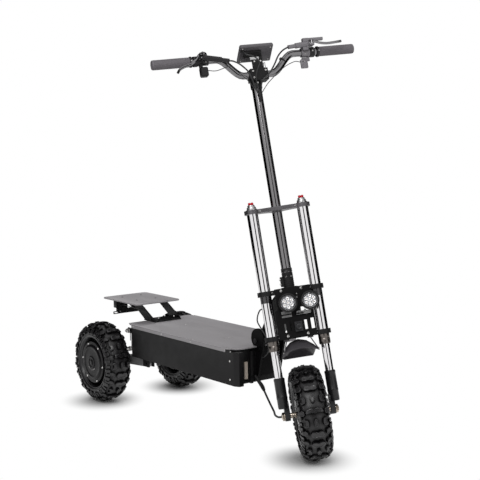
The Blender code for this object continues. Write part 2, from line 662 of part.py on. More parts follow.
def crowns():
    """Three crowns clamp the fork tubes. The lowest carries the steerer; the middle one carries the stem clamp."""
    holes = rods("tube_holes", [((x, -FORK_FORWARD, LOW_CROWN_Z - 0.05), (x, -FORK_FORWARD, TOP_CROWN_Z + 0.05),
                                 TUBE_R + GAP) for x in (-FORK_HALF, FORK_HALF)], STEER, None, CUTTERS, 24)
    stem_hole = rods("stem_hole", [((0, 0, TOP_CROWN_Z - 0.02), (0, 0, TOP_CROWN_Z + 0.02), STEM_R + GAP)], STEER,
                     None, CUTTERS, 24)
    top = flat("top_crown", crown_outline(0.0235, 0.0235), TOP_CROWN_THICK, STEER, (GREY, 0.8, 0.35),
               Matrix.Translation((0, 0, TOP_CROWN_Z)))
    cut(top, holes)
    cut(top, stem_hole)
    low = flat("low_crown", crown_outline(0.0235, 0.0265), CROWN_THICK, STEER, (BLACK, 0.5, 0.4),
               Matrix.Translation((0, 0, LOW_CROWN_Z)))
    steerer = rods("steerer", [((0, 0, LOW_CROWN_Z - 0.006), (0, 0, MID_CROWN_Z + 0.018), STEM_R - GAP)], STEER, None,
                   CUTTERS, 24)
    join(low, steerer)
    cut(low, holes)
    mid = flat("mid_crown", crown_outline(0.0235, 0.0265), CROWN_THICK, STEER, (BLACK, 0.5, 0.4),
               Matrix.Translation((0, 0, MID_CROWN_Z)))
    steerer_hole = rods("steerer_hole", [((0, 0, MID_CROWN_Z - 0.02), (0, 0, MID_CROWN_Z + 0.02), STEM_R)], STEER,
                        None, CUTTERS, 24)
    cut(mid, holes)
    cut(mid, steerer_hole)


def fork():
    """Outer tubes closed by their caps, red adjusters, sliding legs with their stanchions, and the axle."""
    top = TOP_CROWN_Z + TOP_CROWN_THICK / 2 + 0.003
    bottom = 0.1925
    inner = STANCHION_R + 0.0008
    cap_top = top + 0.0130
    tube = [(0.0, cap_top), (0.0105, cap_top), (0.0130, cap_top - 0.0025), (0.0145, top + 0.002), (0.0160, top),
            (TUBE_R - 0.0002, top - 0.0005), (TUBE_R - 0.0002, 0.3585), (TUBE_R, 0.3580), (TUBE_R, 0.3370),
            (TUBE_R - 0.0002, 0.3365), (TUBE_R - 0.0002, 0.2235), (TUBE_R, 0.2225), (TUBE_R, bottom + 0.003),
            (TUBE_R - 0.002, bottom), (STANCHION_R + RUNNING, bottom), (STANCHION_R + RUNNING, bottom + 0.03),
            (inner, bottom + 0.031), (inner, top - 0.030), (0.0, top - 0.030)]
    knob_z = cap_top + GAP
    knob = [(0.0, knob_z + 0.0045), (0.0075, knob_z + 0.0045), (0.0085, knob_z + 0.0035), (0.0085, knob_z),
            (0.0, knob_z)]
    leg_top = LEG_TOP_Z
    leg = [(0.0, 0.340), (0.0085, 0.340), (STANCHION_R, 0.338), (STANCHION_R, leg_top), (0.0145, leg_top),
           (LEG_R, leg_top - 0.002), (LEG_R, 0.026), (0.0145, 0.022), (0.0, 0.022)]
    foot_outline = [(-0.0335, 0.040), (-0.0335, -0.006)]
    foot_outline += arc((-AXLE_FORWARD, 0.0), 0.0150, 205, 360, 6) + [(0.0010, 0.040)]
    axle_hole = rods("axle_hole", [((-0.12, -AXLE_FORWARD, 0), (0.12, -AXLE_FORWARD, 0), AXLE_R + GAP)], STEER, None,
                     CUTTERS, 24)
    for side, name in ((-1, "right"), (1, "left")):
        place = Matrix.Translation((side * FORK_HALF, -FORK_FORWARD, 0))
        turned(name + "_fork_tube", tube, STEER, ((0.5, 0.5, 0.51), 1.0, 0.2), place, 24)
        turned(name + "_fork_adjuster", knob, STEER, ((0.45, 0.01, 0.02), 0.6, 0.3), place, 12)
        slider = turned(name + "_fork_leg", leg, STEER, ((0.3, 0.3, 0.3), 1.0, 0.2), place, 24)
        foot = flat(name + "_leg_foot", foot_outline, 0.0155, STEER, None, collection=CUTTERS)
        foot.data.transform(Matrix.Translation((side * (FORK_HALF - 0.0083), 0, 0)) @ SIDE_VIEW)
        join(slider, foot)
        cut(slider, axle_hole)
    end = FORK_HALF + 0.0095
    axle = rods("front_axle", [((-end, -AXLE_FORWARD, 0), (end, -AXLE_FORWARD, 0), AXLE_R)], STEER,
                ((0.55, 0.42, 0.28), 0.9, 0.35), segments=24)
    seat = FORK_HALF - 0.0083 + 0.00775 + GAP
    nuts = rods("front_axle_nuts", [((side * seat, -AXLE_FORWARD, 0), (side * (seat + 0.0075), -AXLE_FORWARD, 0),
                                     0.0125) for side in (-1, 1)], STEER, None, CUTTERS, 6)
    join(axle, nuts)


def steering_column():
    """The clamp bolted on the middle crown and the long stem in it."""
    flange = MID_CROWN_Z + CROWN_THICK / 2 + GAP
    clamp_top = 0.421
    clamp = turned("stem_clamp", [(0.0165, clamp_top), (0.0165, flange + 0.005), (0.0255, flange + 0.004),
                                  (0.0255, flange), (STEM_R, flange), (STEM_R, flange + 0.014),
                                  (STEM_R + GAP, flange + 0.015), (STEM_R + GAP, clamp_top)], STEER,
                   (BLACK, 0.3, 0.45), Matrix(), 24, closed=True)
    ear = boxes("clamp_ear", [((0.010, 0.016, 0.030), (-0.0185, 0.0, flange + 0.022))], STEER, None, CUTTERS)
    keep = rods("clamp_ear_bore", [((0, 0, flange + 0.004), (0, 0, 0.46), STEM_R + GAP)], STEER, None, CUTTERS, 24)
    cut(ear, keep)
    join(clamp, ear)
    rods("stem_tube", [((0, 0, flange + 0.0155), (0, 0, 0.999), STEM_R)], STEER, ((0.3, 0.3, 0.31), 1.0, 0.16),
         segments=32)


def lamp_place(x, y, z):
    """Puts a turned lamp on the plate, its height pointing forward."""
    return Matrix.Translation((x, y, z)) @ Matrix.Rotation(math.radians(90), 4, "X")


def light_plate():
    """The slotted plate in front of the crowns, two round headlights and the horn."""
    low = LOW_CROWN_Z - 0.0075
    high = MID_CROWN_Z + 0.0090
    half = 0.0575
    notch = 0.0495
    front = -0.0420
    thick = 0.0035
    middle_y = front + thick / 2
    outline = [(-half, low), (half, low), (half, high), (-notch, high), (-notch, 0.312), (-half, 0.308)]
    plate = flat("light_plate", outline, thick, STEER, (BLACK, 0.5, 0.45))
    plate.data.transform(Matrix.Translation((0, middle_y, 0)) @ FRONT_VIEW)
    slots = boxes("plate_slots", [((0.008, 0.02, 0.028), (0.028, middle_y, 0.2585)),
                                  ((0.010, 0.02, 0.031), (0.048, middle_y, 0.2595)),
                                  ((0.033, 0.02, 0.012), (0.0355, middle_y, 0.3060)),
                                  ((0.005, 0.02, 0.026), (-0.034, middle_y, 0.256)),
                                  ((0.005, 0.02, 0.026), (-0.018, middle_y, 0.258))], STEER, None, CUTTERS)
    shelves = boxes("lamp_shelves", [((0.030, 0.0160, 0.003), (-0.025, front - 0.0075, 0.2945)),
                                     ((0.022, 0.0130, 0.003), (0.0145, front - 0.0060, 0.2935)),
                                     ((0.050, 0.0030, 0.010), (0.0285, front - 0.0010, 0.2945))], STEER, None,
                    CUTTERS)
    cut(plate, slots)
    join(plate, shelves)
    face = front - GAP
    for name, x, z in (("right", -0.0175, 0.3280), ("left", 0.0480, 0.3265)):
        turned(name + "_headlight", [(0.0, 0.0), (0.0110, 0.0), (0.0110, 0.0080), (0.0215, 0.0080),
                                            (0.0260, 0.0130), (0.0265, 0.0270), (0.0278, 0.0275), (0.0278, 0.0335),
                                            (0.0222, 0.0335), (0.0222, 0.0290), (0.0, 0.0290)][::-1], STEER,
                      (BLACK, 0.3, 0.4), lamp_place(x, face, z), 24)
        turned(name + "_headlight_lens", [(0.0, 0.0342), (0.0140, 0.0340), (0.0205, 0.0332), (0.0218, 0.0325),
                                          (0.0218, 0.0290 + GAP), (0.0, 0.0290 + GAP)], STEER,
               ((0.8, 0.8, 0.8), 0.3, 0.1), lamp_place(x, face, z), 24)
    horn = boxes("horn", [((0.023, 0.014, 0.030), (0.005, face - 0.0070, 0.2560))], STEER,
                 ((0.25, 0.25, 0.26), 0.8, 0.4))
    bevelled(horn, 0.002, 1)


# Sections of the mudguard from its front rim to its rear end: distance behind the steering axis, depth of its crest
# below the low crown's middle, half width, and how far its sides hang below the crest
FENDER = [(-0.062, 0.0380, 0.0530, 0.0125), (-0.045, 0.0260, 0.0520, 0.021), (-0.022, 0.0155, 0.0505, 0.030),
          (0.004, 0.0120, 0.0490, 0.036), (0.032, 0.0175, 0.0490, 0.036), (0.056, 0.0310, 0.0490, 0.028),
          (0.072, 0.0490, 0.0490, 0.014), (0.080, 0.0670, 0.0455, 0.000)]


def fender():
    """A short hooded mudguard that hangs on two stays under the low crown."""
    mesh = bmesh.new()
    across = [(-1.0, 1.0), (-0.8, 0.58), (-0.5, 0.2), (0.0, 0.0), (0.5, 0.2), (0.8, 0.58), (1.0, 1.0)]
    rows = []
    for y, depth, half, drop in FENDER:
        rows.append([mesh.verts.new((share * half, y, LOW_CROWN_Z - depth - drop * fall)) for share, fall in across])
    for first, second in zip(rows, rows[1:]):
        for index in range(len(across) - 1):
            mesh.faces.new((first[index], first[index + 1], second[index + 1], second[index]))
    bmesh.ops.recalc_face_normals(mesh, faces=mesh.faces)
    data = bpy.data.meshes.new("fender")
    mesh.to_mesh(data)
    mesh.free()
    made = finish("fender", data, STEER, ((0.05, 0.05, 0.052), 0.0, 0.45))
    shell = made.modifiers.new("Shell", "SOLIDIFY")
    shell.thickness = 0.003
    shell.offset = 0.0
    # Stays of flat bar come down from the crown to the rim's two corners
    crown_under = LOW_CROWN_Z - CROWN_THICK / 2 - GAP
    front_y, depth, half, drop = FENDER[0]
    for side in (-1, 1):
        top = Vector((side * 0.0360, -0.0300, crown_under - 0.0045))
        end = Vector((side * (half - 0.0015), front_y + 0.006, LOW_CROWN_Z - depth - 0.0095))
        along = (end - top).normalized()
        across_bar = Vector((0.0, -1.0, 0.0)).cross(along).normalized()
        turn = Matrix((across_bar, along.cross(across_bar), along)).transposed().to_4x4()
        stay = boxes("fender_stay_%d" % side, [((0.0024, 0.010, (end - top).length), (top + end) / 2, turn)], STEER,
                     None, CUTTERS)
        tab = boxes("stay_tab_%d" % side, [((0.016, 0.014, 0.0045), top + Vector((0, 0, 0.00225)))], STEER, None,
                    CUTTERS)
        join(made, stay, tab)


def bar_point(x):
    """Height of the handlebar's centre line at a distance from its middle."""
    start = 0.045
    end = 0.122
    share = min(max((abs(x) - start) / (end - start), 0.0), 1.0)
    return BAR_Z + BAR_RISE * share * share * (3 - 2 * share)


def handlebar():
    """Bar, grips, clamp, display and its bracket."""
    stops = [0.0, 0.030] + [0.045 + 0.077 * index / 8 for index in range(9)] + [0.150, BAR_HALF - 0.004]
    xs = [-x for x in reversed(stops[1:])] + stops
    route = [Vector((x, -BAR_FORWARD, bar_point(x))) for x in xs]
    tubes("handlebar", [(route, BAR_R)], BAR, ((0.05, 0.05, 0.052), 0.5, 0.3), sides=4)
    inner = BAR_HALF - GRIP_LENGTH
    z = BAR_Z + BAR_RISE
    profile = [(0.0, BAR_HALF), (GRIP_R - 0.002, BAR_HALF), (GRIP_R, BAR_HALF - 0.002), (GRIP_R, inner + 0.006),
               (GRIP_R + 0.0015, inner + 0.004), (GRIP_R + 0.0015, inner), (BAR_R + GAP, inner),
               (BAR_R + GAP, BAR_HALF - 0.0037), (0.0, BAR_HALF - 0.0037)]
    for side, name in ((-1, "right"), (1, "left")):
        place = Matrix.Translation((0, -BAR_FORWARD, z)) @ Matrix.Rotation(side * math.radians(90), 4, "Y")
        turned(name + "_grip", profile, BAR, ((0.05, 0.05, 0.052), 0.0, 0.6), place, 24)
    clamp = boxes("bar_clamp", [((0.056, 0.040, 0.036), (0, -0.0100, 1.0280))], BAR, (BLACK, 0.5, 0.4))
    stem_x = -BAR_SHIFT
    socket = rods("clamp_socket", [((stem_x, 0, 0.9895), (stem_x, 0, 1.020), 0.0179)], BAR, None, CUTTERS, 24)
    holes = rods("clamp_holes", [((stem_x, 0, 0.95), (stem_x, 0, 0.9993), STEM_R + GAP),
                                 ((-0.1, -BAR_FORWARD, BAR_Z), (0.1, -BAR_FORWARD, BAR_Z), BAR_R + 2 * GAP)], BAR,
                 None, CUTTERS, 24)
    riser = boxes("display_riser", [((0.034, 0.004, 0.0520), (0.002, -0.0180, 1.0680))], BAR, None, CUTTERS)
    join(clamp, socket, riser)
    cut(clamp, holes)
    tilt = Matrix.Rotation(math.radians(-31.5), 4, "X")
    display = boxes("display", [((0.106, 0.066, 0.012), (0, -0.0160, 1.0975), tilt)], BAR,
                    ((0.015, 0.015, 0.018), 0.0, 0.2))
    clear = boxes("display_seat", [((0.0346, 0.0046, 0.0500), (0.002, -0.0180, 1.0693))], BAR, None, CUTTERS)
    bevelled(display, 0.0025, 1)
    cut(display, clear)


def controls():
    """Brake cylinders with levers, throttle, switch pod, bell."""
    z = BAR_Z + BAR_RISE
    y = -BAR_FORWARD
    hole = BAR_R + 2 * GAP
    grip_end = BAR_HALF - GRIP_LENGTH
    clamp_x = grip_end - CLAMP_IN
    metal = ((0.12, 0.12, 0.125), 0.7, 0.35)
    # Each cylinder falls a little towards the middle. Lever routes run out from each pivot: the right one hangs low,
    # the left one lies level with the grip
    sides = (("right", -1, 0.005, RIGHT_FALL, CYLINDER_REACH,
              [(0, 0, 0), (0.005, -0.0085, 0.0), (0.012, -0.0135, -0.001), (0.022, -0.0150, -0.014),
               (0.040, -0.0145, -0.0265), (0.062, -0.0110, -0.0320), (0.0755, -0.0090, -0.0390),
               (0.0817, -0.0070, -0.0480)]),
             ("left", 1, 0.021, LEFT_FALL, CYLINDER_REACH - LEFT_SHORTER,
              [(0, 0, 0), (0.010, -0.0060, -0.001), (0.020, -0.0110, -0.007), (0.0437, -0.0120, -0.0110),
               (0.074, -0.0100, -0.0088), (0.0925, -0.0080, -0.0065)]))
    for name, side, lift, fall, reach, route in sides:
        tube_y = y - 0.0235
        tube_z = z + lift
        x = side * clamp_x
        body = rods(name + "_brake_body", [((x - 0.0095, y, z), (x + 0.0095, y, z), 0.0145)], BAR, metal)
        barrel_in = reach - 0.024
        barrel = rods(name + "_brake_cylinder",
                      [((x + side * 0.014, tube_y, tube_z),
                        (x - side * barrel_in, tube_y, tube_z - fall * (barrel_in + 0.014)), 0.0085)],
                      BAR, None, CUTTERS, 16)
        union = rods(name + "_hose_nut",
                     [((x - side * (barrel_in - 0.001), tube_y, tube_z - fall * (barrel_in + 0.013)),
                       (x - side * reach, tube_y, tube_z - fall * (reach + 0.014)), 0.0062)],
                     BAR, None, CUTTERS, 16)
        web = boxes(name + "_brake_web", [((0.017, 0.022, 0.010 + lift * 0.5), (x, y - 0.0145, z + lift * 0.6))], BAR,
                    None, CUTTERS)
        ears = boxes(name + "_lever_ears", [((0.012, 0.024, 0.0035), (x + side * 0.0175, tube_y - 0.0085,
                                                                      tube_z + up * 0.0078)) for up in (-1, 1)],
                     BAR, None, CUTTERS)
        bar_bore = rods(name + "_bar_bore", [((x - 0.03, y, z), (x + 0.03, y, z), hole)], BAR, None, CUTTERS, 24)
        pivot = Vector((x + side * 0.018, tube_y - 0.0145, tube_z))
        pin = rods(name + "_lever_pin", [(pivot - Vector((0, 0, 0.0085)), pivot + Vector((0, 0, 0.0085)), 0.0018)],
                   BAR, None, CUTTERS, 16)
        join(body, barrel, union, web, ears, pin)
        if side > 0:
            join(body, boxes("reach_blade", [((0.056, 0.010, 0.0085), (x + 0.034, y - 0.018, z + 0.0350))], BAR, None,
                             CUTTERS),
                 boxes("reach_post", [((0.018, 0.014, 0.026), (x + 0.004, y - 0.018, z + 0.0262))], BAR, None,
                       CUTTERS))
        cut(body, bar_bore)
        frame = empty(name + "_lever_axis", BAR, Matrix.Translation(pivot))
        points = [Vector((side * a, b, c)) for a, b, c in route]
        lever = tubes(name + "_brake_lever", [(through(points, 3), 0.0040)], frame, metal, sides=2)
        boss = rods(name + "_lever_boss", [((0, 0, -0.0057), (0, 0, 0.0057), 0.0052)], frame, None, CUTTERS, 16)
        bore = rods(name + "_lever_bore", [((0, 0, -0.02), (0, 0, 0.02), 0.0018 + GAP)], frame, None, CUTTERS, 16)
        join(lever, boss)
        cut(lever, bore)
    # Throttle on the left: a collar beside the grip, and a paddle that turns about the bar
    collar_in = grip_end - 0.0245
    collar = rods("throttle_body", [((collar_in, y, z), (grip_end - 0.0087, y, z), 0.0160)], BAR, (BLACK, 0.0, 0.5))
    collar_bore = rods("throttle_bore", [((collar_in - 0.02, y, z), (grip_end + 0.02, y, z), hole)], BAR, None,
                       CUTTERS, 24)
    cut(collar, collar_bore)
    axis = empty("throttle_axis", BAR, Matrix.Translation((0, y, z)))
    ring_out = collar_in - 0.0004
    ring_in = ring_out - 0.0063
    paddle = boxes("throttle_paddle", [((0.0240, 0.009, 0.0290), (ring_in - 0.0130, 0.002, -0.0345))], axis,
                   ((0.12, 0.12, 0.12), 0.0, 0.5))
    bevelled(paddle, 0.0035)
    ring = rods("paddle_ring", [((ring_in, 0, 0), (ring_out, 0, 0), 0.0150)], axis, None, CUTTERS)
    arm = boxes("paddle_arm", [((0.0240, 0.007, 0.0140), (ring_in - 0.0058, 0.002, -0.0200))], axis, None, CUTTERS)
    ring_bore = rods("paddle_bore", [((ring_in - 0.02, 0, 0), (ring_out + 0.02, 0, 0), hole)], axis, None, CUTTERS,
                     24)
    clear = rods("paddle_clear", [((ring_in - 0.05, 0, 0), (ring_in - 0.0002, 0, 0), 0.0160)], axis, None, CUTTERS)
    join(paddle, arm)
    cut(paddle, clear)
    join(paddle, ring)
    cut(paddle, ring_bore)
    # Switch pod on the right with a horn button that faces the rider
    pod_out = -grip_end + 0.0042
    pod_in = pod_out + 0.0270
    box_x = pod_out + 0.0295
    button_z = z - 0.0350
    pod = rods("switch_pod", [((pod_out, y, z), (pod_out + 0.0125, y, z), 0.0160)], BAR,
               ((0.05, 0.05, 0.05), 0.0, 0.5))
    sleeve = rods("switch_sleeve", [((pod_out + 0.0120, y, z), (pod_in, y, z), 0.0145)], BAR, None, CUTTERS)
    body = boxes("switch_box", [((0.024, 0.022, 0.029), (box_x, y - 0.002, button_z))], BAR, None, CUTTERS)
    neck_box = boxes("switch_neck", [((0.008, 0.016, 0.014), (box_x - 0.0070, y - 0.002, z - 0.0165))], BAR, None,
                     CUTTERS)
    pod_bore = rods("switch_bore", [((pod_out - 0.02, y, z), (pod_in + 0.02, y, z), hole)], BAR, None, CUTTERS, 24)
    seat = rods("horn_button_seat", [((box_x, y, button_z), (box_x, y + 0.02, button_z), 0.0065)], BAR, None, CUTTERS)
    bevelled(body, 0.003, 1)
    join(pod, sleeve, neck_box, body)
    cut(pod, pod_bore)
    cut(pod, seat)
    rods("horn_button", [((box_x, y + 0.0030, button_z), (box_x, y + 0.0120, button_z), 0.0061)], BAR,
         ((0.3, 0.02, 0.02), 0.0, 0.4))
    # Bell standing on the right brake clamp
    foot = z + 0.0145 + GAP
    dome = [(0.0, foot + 0.0125), (0.0045, foot + 0.0120), (0.0090, foot + 0.0098), (0.0118, foot + 0.0060),
            (0.0124, foot + 0.0024), (0.0110, foot + 0.0024), (0.0040, foot + 0.0024), (0.0040, foot), (0.0, foot)]
    turned("bell", dome, BAR, ((0.3, 0.3, 0.3), 0.9, 0.3), Matrix.Translation((-clamp_x - 0.002, y, 0)), 20)


def cables():
    """Hoses and wires held along the handlebar and stem, the neck loom and the front motor's lead."""
    z = BAR_Z + BAR_RISE
    y = -BAR_FORWARD - 0.0235
    end_x = BAR_HALF - GRIP_LENGTH - CLAMP_IN - CYLINDER_REACH + GAP
    hose = 0.0024
    gather = (-0.0078, -0.0235, 0.962)
    right_z = z + 0.005 - RIGHT_FALL * (CYLINDER_REACH + 0.014)
    left_z = z + 0.021 - LEFT_FALL * (CYLINDER_REACH - LEFT_SHORTER + 0.014)
    left_x = end_x + LEFT_SHORTER
    right = through([(-end_x + 4 * GAP, y, right_z), (-end_x + 0.012, y - 0.002, right_z - 0.003),
                     (-0.064, -0.040, 1.0625), (-0.0525, -0.043, 1.0505), (-0.0407, -0.046, 1.0341),
                     (-0.0325, -0.045, 1.0131), (-0.0250, -0.039, 0.990), gather], 2)
    left = through([(left_x - 4 * GAP, y, left_z), (left_x - 0.0205, -0.035, left_z - 0.0095),
                    (0.064, -0.040, 1.0755), (0.046, -0.044, 1.0485), (0.026, -0.045, 1.0236),
                    (0.000, -0.040, 1.0009), gather], 2)
    screen = through([(-0.046, -0.0455, 1.0945), (-0.040, -0.058, 1.083), (-0.0224, -0.060, 1.0765),
                      (-0.0083, -0.058, 1.0657), (-0.0041, -0.056, 1.0529), (-0.0130, -0.052, 1.0350),
                      (-0.0190, -0.046, 1.0120), (-0.0150, -0.038, 0.990), gather], 2)
    switch = through([(-0.1544, y + 0.016, z - 0.032), (-0.130, y + 0.012, z - 0.036), (-0.092, y - 0.004, z - 0.030),
                      (-0.079, -0.034, 1.048), (-0.048, -0.038, 1.014), (-0.026, -0.038, 0.994), gather], 2)
    loom = tubes("control_loom", [(right, hose)], BAR, (BLACK, 0.0, 0.5))
    join(loom, tubes("left_hose", [(left, hose)], BAR, None, collection=CUTTERS),
         tubes("screen_lead", [(screen, 0.0021)], BAR, None, collection=CUTTERS),
         tubes("switch_lead", [(switch, 0.0012)], BAR, None, collection=CUTTERS),
         rods("loom_sleeve", [((gather[0], gather[1], 0.968), (gather[0], gather[1], 0.946), 0.0050)], BAR, None,
              CUTTERS, 16))
    steer_to_deck = CHASSIS.matrix_world.inverted() @ STEER.matrix_world
    crown_under = MID_CROWN_Z - CROWN_THICK / 2 - GAP
    neck_route = through([steer_to_deck @ Vector((-0.044, 0.000, crown_under)), (-0.048, 0.140, 0.4155),
                          (-0.055, 0.163, 0.4075), (-0.054, 0.179, 0.3745), (-0.052, 0.162, 0.3505),
                          (-0.050, 0.1440, 0.3305), (-0.044, 0.140, 0.3035), (-0.033, 0.156, 0.2755),
                          (-0.032, 0.180, 0.2565), (-0.032, DECK_FRONT - 0.0050, 0.2525)], 3)
    tubes("neck_loom", [(neck_route, 0.0021)], CHASSIS, (BLACK, 0.0, 0.5))
    axle_end = -(FORK_HALF + 0.0095) - GAP
    gland = Vector((-0.0515, 0.163, DECK_BOTTOM - 0.0056))
    lead = [gland + Vector((0, 0.012, 0.0088)), gland, steer_to_deck @ Vector((-0.1045, -0.010, 0.0190)),
            steer_to_deck @ Vector((-0.1020, -0.012, 0.0150)),
            steer_to_deck @ Vector((-0.0990, -AXLE_FORWARD, 0.0125)),
            steer_to_deck @ Vector((-0.0960, -AXLE_FORWARD, 0.0090)),
            steer_to_deck @ Vector((-0.0945, -AXLE_FORWARD, 0.0040)),
            steer_to_deck @ Vector((-0.0925, -AXLE_FORWARD, 0.0006)),
            steer_to_deck @ Vector((axle_end - 0.0003, -AXLE_FORWARD, 0.0))]
    wire = tubes("motor_lead", [(lead, 0.0034)], CHASSIS, (BLACK, 0.0, 0.5))
    join(wire, rods("lead_gland", [(gland + Vector((0, 0.0332, 0.0244)), gland, 0.0056)], CHASSIS, None, CUTTERS))


wheels()
TRAY = deck()
neck()
seat_mount()
rear_suspension(TRAY)
crowns()
fork()
steering_column()
light_plate()
fender()
handlebar()
controls()
cables()
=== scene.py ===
import math

import bmesh
import bpy
from mathutils import Matrix, Vector

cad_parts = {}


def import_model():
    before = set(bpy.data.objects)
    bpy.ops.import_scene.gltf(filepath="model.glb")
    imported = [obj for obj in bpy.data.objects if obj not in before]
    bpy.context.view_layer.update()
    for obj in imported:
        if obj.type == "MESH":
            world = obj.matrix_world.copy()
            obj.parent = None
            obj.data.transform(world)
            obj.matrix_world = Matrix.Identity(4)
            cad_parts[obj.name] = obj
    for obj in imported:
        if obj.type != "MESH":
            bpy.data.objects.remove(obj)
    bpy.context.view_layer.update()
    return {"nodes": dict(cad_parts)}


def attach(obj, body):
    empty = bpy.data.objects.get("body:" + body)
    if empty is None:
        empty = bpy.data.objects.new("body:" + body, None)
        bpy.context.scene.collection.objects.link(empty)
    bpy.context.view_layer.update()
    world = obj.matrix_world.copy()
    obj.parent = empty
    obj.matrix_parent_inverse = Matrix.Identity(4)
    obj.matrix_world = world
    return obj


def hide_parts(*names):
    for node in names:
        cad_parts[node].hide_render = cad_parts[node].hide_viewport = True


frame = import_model()
NODES = frame["nodes"]
GAP = 0.0003


# Frames of the rigid groups, as in the part's source
STEER_X, STEER_Y = -0.0041, -0.46886
WHEELBASE, REAR_TRACK, TYRE_R = 0.939, 0.331, 0.1425
RAKE = math.radians(15.17)
STEER_TURN = math.radians(-33.95)
BAR_TURN = math.radians(13.2)
BAR_SHIFT = 0.0075
DECK_PITCH = math.radians(1.5)
AXLE_FORWARD, FORK_HALF, FORK_FORWARD = 0.014, 0.0763, 0.0231
TREAD = [(0.1425, 0), (0.1417, 0.018), (0.138, 0.031), (0.129, 0.0415), (0.1085, 0.0465), (0.0925, 0.042),
         (0.0834, 0.029)]


UP = Matrix()


def at(x, y, z, face=UP):
    return Matrix.Translation((x, y, z)) @ face


def lean(angle):
    return Matrix.Rotation(angle, 4, "X")


def turn(degrees, axis):
    return Matrix.Rotation(math.radians(degrees), 4, axis)


def frames():
    sine = abs(math.sin(STEER_TURN) * math.sin(RAKE))
    cosine = math.sqrt(1 - sine * sine)
    height = max(r * cosine + x * sine for r, x in TREAD) - AXLE_FORWARD * math.cos(STEER_TURN) * math.sin(RAKE)
    ground = at(STEER_X, STEER_Y, 0)
    deck = ground @ at(0, WHEELBASE, TYRE_R, lean(-DECK_PITCH)) @ at(0, -WHEELBASE, -TYRE_R)
    steer = ground @ at(0, 0, height, lean(-RAKE)) @ Matrix.Rotation(STEER_TURN, 4, "Z")
    bar = steer @ Matrix.Rotation(BAR_TURN, 4, "Z") @ at(BAR_SHIFT, 0, 0)
    back = math.atan2(math.cos(STEER_TURN) * math.sin(RAKE), math.cos(RAKE))
    front = steer @ at(0, -AXLE_FORWARD, 0, lean(back))
    rear = [deck @ at(side * REAR_TRACK / 2, WHEELBASE, TYRE_R, lean(DECK_PITCH)) for side in (-1, 1)]
    return deck, steer, bar, front, *rear


DECK, STEER, BAR, FRONT, RIGHT, LEFT = frames()


def link_object(name, data):
    made = bpy.data.objects.new(name, data)
    bpy.context.scene.collection.objects.link(made)
    return made


def add_node(tree, kind, sockets=None, feeds=None, **settings):
    """A node: settings are its own, sockets holds its inputs' values and feeds the outputs that drive its inputs."""
    made = tree.nodes.new(kind)
    for key, value in settings.items():
        setattr(made, key, value)
    for key, value in (sockets or {}).items():
        made.inputs[key].default_value = value
    for key, source in (feeds or {}).items():
        tree.links.new(source, made.inputs[key])
    return made


def math_node(tree, operation, a, b):
    """The result of a maths node on an output and a number, or on two outputs."""
    if isinstance(b, float):
        return add_node(tree, "ShaderNodeMath", {1: b}, {0: a}, operation=operation).outputs[0]
    return add_node(tree, "ShaderNodeMath", None, {0: a, 1: b}, operation=operation).outputs[0]


# Camera, floor and light. The camera was fitted to the photograph.
AZIMUTH, ELEVATION = math.radians(-37.0996), math.radians(6.882)
CAMERA_PLACE = (-2.0443, -2.82306, 1.0299)
FOCAL_LENGTH = 80.6055
WORLD_LIGHT = 0.5
# The floor's own grey shows only near the wheels: painted shade round each foot, added to the real shadow
FLOOR_SHADE_GREY = 0.56
SHADOW_NEAR, SHADOW_FAR = 0.03, 0.16      # from a wheel's foot: full shadow, none
# Black cards: their plan as (sideways, behind the object)
CARDS = {"Back_card": [(-2.6, -1.6), (-2.6, 1.9), (2.6, 1.9), (2.6, -1.5)], "Lens_card": [(-0.1, -3.3), (1.05, -3.3)]}
CARD_BOTTOM, CARD_TOP = 0.003, 5.2


def aim(made, place, back):
    """Put a camera or a lamp at a place, with its back towards a direction."""
    made.location = place
    made.rotation_mode = "QUATERNION"
    made.rotation_quaternion = back.to_track_quat("Z", "Y")


def camera():
    data = bpy.data.cameras.new("Photo_camera")
    data.lens = FOCAL_LENGTH
    data.sensor_width = 36.0
    data.clip_end = 60.0
    made = link_object("Photo_camera", data)
    aim(made, CAMERA_PLACE, Vector((math.sin(AZIMUTH) * math.cos(ELEVATION), -math.cos(AZIMUTH) * math.cos(ELEVATION),
                                    math.sin(ELEVATION))))
    bpy.context.scene.camera = made


def lamp(name, place, target, size, power):
    data = bpy.data.lights.new(name, "AREA")
    data.shape = "RECTANGLE"
    data.size, data.size_y = size
    data.energy = power
    aim(link_object(name, data), place, Vector(place) - Vector(target))


def world():
    """White for the camera and for reflections, softer as a light."""
    made = bpy.data.worlds.new("Studio")
    bpy.context.scene.world = made
    made.use_nodes = True
    tree = made.node_tree
    tree.nodes.clear()
    soft, shown = [add_node(tree, "ShaderNodeBackground", {"Color": (1, 1, 1, 1), "Strength": strength}).outputs[0]
                   for strength in (WORLD_LIGHT, 1.0)]
    path = add_node(tree, "ShaderNodeLightPath").outputs
    seen = math_node(tree, "MAXIMUM", path["Is Camera Ray"], path["Is Glossy Ray"])
    seen = math_node(tree, "MAXIMUM", seen, path["Is Transmission Ray"])
    mix = add_node(tree, "ShaderNodeMixShader", None, {0: seen, 1: soft, 2: shown})
    add_node(tree, "ShaderNodeOutputWorld", None, {"Surface": mix.outputs[0]})


def plain(name, grey, roughness, specular):
    """A material of one grey, and its shader."""
    made = bpy.data.materials.new(name)
    made.use_nodes = True
    shader = made.node_tree.nodes["Principled BSDF"]
    shader.inputs["Base Color"].default_value = (grey, grey, grey, 1)
    shader.inputs["Roughness"].default_value = roughness
    shader.inputs["Specular IOR Level"].default_value = specular
    return made, shader


